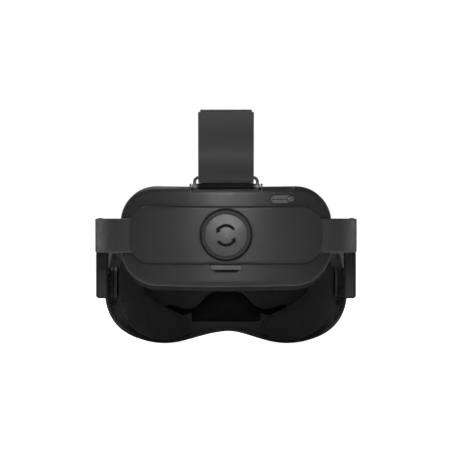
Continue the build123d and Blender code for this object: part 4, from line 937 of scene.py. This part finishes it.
def dust_plate():
    """A thin plate inside the slot of the release tab, in its colour."""
    corners = [
        (-PLATE_HALF, PLATE_LOW), (PLATE_HALF, PLATE_LOW), (PLATE_HALF, PLATE_HIGH), (-PLATE_HALF, PLATE_HIGH),
    ]
    vertices = [
        np.array(REAR + Vector((x * MM, 0, 0)) + UP * (v * MM) - OUT * (PLATE_DEPTH * MM)) for x, v in corners
    ]
    vertices += [p + np.array(OUT) * PLATE_THICK * MM for p in vertices]
    faces = [(0, 1, 2, 3), (7, 6, 5, 4), (0, 4, 5, 1), (1, 5, 6, 2), (2, 6, 7, 3), (3, 7, 4, 0)]
    return make("latch_dust_plate", vertices, faces, "dial_plastic", False)


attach(dust_plate(), "latch")


def window_shadow_line():
    """A dark bead round the status window: a painted shadow along its edge."""
    around = PILL_TALL / 2 + SHADOW_LINE_GROWTH
    outline = []
    for centre, first in ((PILL_LONG / 2 - PILL_TALL / 2, -90), (PILL_TALL / 2 - PILL_LONG / 2, 90)):
        for k in range(13):
            angle = math.radians(first + 15 * k)
            outline.append((PILL_X + centre + around * math.cos(angle), PILL_V + around * math.sin(angle)))
    line = np.array([on_shell(x, v, 0.02) for x, v in spline(outline, 0.5, True)])
    return tube("status_window_painted_shadow", line, SHADOW_LINE_RADIUS, "rubber_part", tuple(OUT), True, 8)


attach(window_shadow_line(), "rear_unit")


def window_lights():
    """The row of dark dots in the status window."""
    vertices, faces = [], []
    count = LIGHT_SIDES
    for x in LIGHT_XS:
        first = len(vertices)
        for over in (LIGHT_SUNK, LIGHT_PROUD):
            for g in round_angles(count):
                vertices.append(on_shell(x + LIGHT_RADIUS * math.cos(g), PILL_V + LIGHT_RADIUS * math.sin(g), over))
        faces.append(tuple(first + k for k in range(count)))
        faces.append(tuple(first + count + k for k in reversed(range(count))))
        for k in range(count):
            m = (k + 1) % count
            faces.append((first + k, first + m, first + count + m, first + count + k))
    return make("status_lights", vertices, faces, "rubber_part", False)


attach(window_lights(), "rear_unit")

sleeve = []
for x, radius in SLEEVE:
    circle = [(x, radius * math.cos(g), radius * math.sin(g)) for g in round_angles(SLEEVE_SIDES)]
    sleeve.append(np.array([np.array(PIVOT) + MM * np.array(point) for point in circle]))
# the bar is real; its near-black sleeve is painted shade under the strap's loop
bar_shade_sleeve = loft("ring_bar_painted_shade", sleeve, "rubber_part")
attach(bar_shade_sleeve, "ring")

# ---------------------------------------------------------------- dark rubber-look cup in the nose pocket, painted shade for its deep hollow
NOSE_HALF = [
    (0, 17.3), (14, 17.3), (28, 17.3), (42, 17.8), (52, 20.5), (54.5, 26), (49, 30.5), (41, 29.6),
    (33, 27.8), (26, 28.8), (20, 33.4), (14, 39.8), (6.5, 42.8), (0, 43.2),
]
nose_loop = spline(NOSE_HALF + [(-x, z) for x, z in reversed(NOSE_HALF[1:-1])], 1.5, True)
nose_middle = np.array([0, 28.0])
# a cup's section, as (place along the headset in mm, share of the pocket's outline)
POCKET_SHADE_CUP = [
    (-107.05, 0.1), (-107.0, 0.85), (-106.6, 0.93), (-105, 0.96), (-101, 0.965), (-97.2, 0.975),
    (-96.4, 0.98), (-96.2, 0.985), (-96.4, 0.99), (-101, 0.99), (-107.0, 0.985), (-107.2, 0.9), (-107.2, 0.1),
]
pocket_shade_cup = []
for y, keep in POCKET_SHADE_CUP:
    flat = nose_middle + (nose_loop - nose_middle) * keep
    pocket_shade_cup.append(np.array([(x * MM, y * MM, z * MM) for x, z in flat]))
nose_pocket_shade = loft("nose_pocket_shade", pocket_shade_cup, "rubber_part")
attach(nose_pocket_shade, "visor")

# ---------------------------------------------------------------- floor, light and camera
FLOOR_HALF = 30
corners = [(x * FLOOR_HALF, y * FLOOR_HALF, 0) for x, y in ((-1, -1), (1, -1), (1, 1), (-1, 1))]
floor_mesh = bpy.data.meshes.new("floor")
floor_mesh.from_pydata(corners, [], [(0, 1, 2, 3)])
floor = bpy.data.objects.new("floor", floor_mesh)
scene.collection.objects.link(floor)
pale = Shade("floor_look", Roughness=0.9, Specular_IOR_Level=0.1)
pale.set("Base Color", pale.ramp(pale.noise(3, 2), (0.90, 0.90, 0.90), (0.93, 0.93, 0.93)))
pale.shader.inputs["Emission Color"].default_value = (1, 1, 1, 1)
# it glows for the camera only, so that it doesn't light the object from below
pale.set("Emission Strength", pale.math("MULTIPLY", pale.add("LightPath").outputs["Is Camera Ray"], 0.95))
floor_mesh.materials.append(pale.material)

# a dim room whose backdrop is white to the camera only
world = bpy.data.worlds.new("studio")
scene.world = world
world.use_nodes = True
tree = world.node_tree
room = tree.nodes["Background"]
room.inputs["Color"].default_value = (1, 1, 1, 1)
room.inputs["Strength"].default_value = 0.08
backdrop = tree.nodes.new("ShaderNodeBackground")
backdrop.inputs["Color"].default_value = (1, 1, 1, 1)
seen = tree.nodes.new("ShaderNodeLightPath").outputs["Is Camera Ray"]
mix = tree.nodes.new("ShaderNodeMixShader")
tree.links.new(seen, mix.inputs[0])
tree.links.new(room.outputs[0], mix.inputs[1])
tree.links.new(backdrop.outputs[0], mix.inputs[2])
tree.links.new(mix.outputs[0], tree.nodes["World Output"].inputs["Surface"])
scene.view_settings.view_transform = "Standard"


def lamp(name, place, target, size, power):
    """A rectangular lamp that points at target, with its power in watts."""
    data = bpy.data.lights.new(name, "AREA")
    data.shape = "RECTANGLE"
    data.size, data.size_y = size
    data.energy = power
    obj = bpy.data.objects.new(name, data)
    scene.collection.objects.link(obj)
    obj.location = place
    obj.rotation_mode = "QUATERNION"
    obj.rotation_quaternion = (Vector(target) - Vector(place)).to_track_quat("-Z", "Y")


lamp("key", (0.0, 0.50, 0.182), (0, 0.14, 0.115), (0.22, 0.11), 2.6)
lamp("top_soft", (0, 1.1, 1.0), (0, 0.13, 0.12), (1.2, 0.5), 5.2)
lamp("front_soft", (0.7, -1.2, 1.7), (0, 0, 0.08), (1.2, 0.8), 14)
for side, power in ((1, 3.1), (-1, 2.8)):
    lamp(f"side_{side}", (side * 1.5, 1.1, 0.45), (0, 0.05, 0.09), (0.9, 0.9), power)
    lamp(f"front_{side}", (side * 1.5, -1.2, 0.35), (0, 0, 0.08), (0.8, 0.8), power)
sun = bpy.data.objects.new("overhead", bpy.data.lights.new("overhead", "SUN"))
sun.data.energy = 0.25
sun.data.angle = math.radians(100)
scene.collection.objects.link(sun)

camera = bpy.data.objects.new("camera", bpy.data.cameras.new("camera"))
scene.collection.objects.link(camera)
scene.camera = camera
camera.data.sensor_width = 36
camera.data.lens = 219
camera.location = (0, 2.143, 0.09505)
camera.rotation_euler = (math.pi / 2, 0, math.pi)
camera.data.clip_end = 100
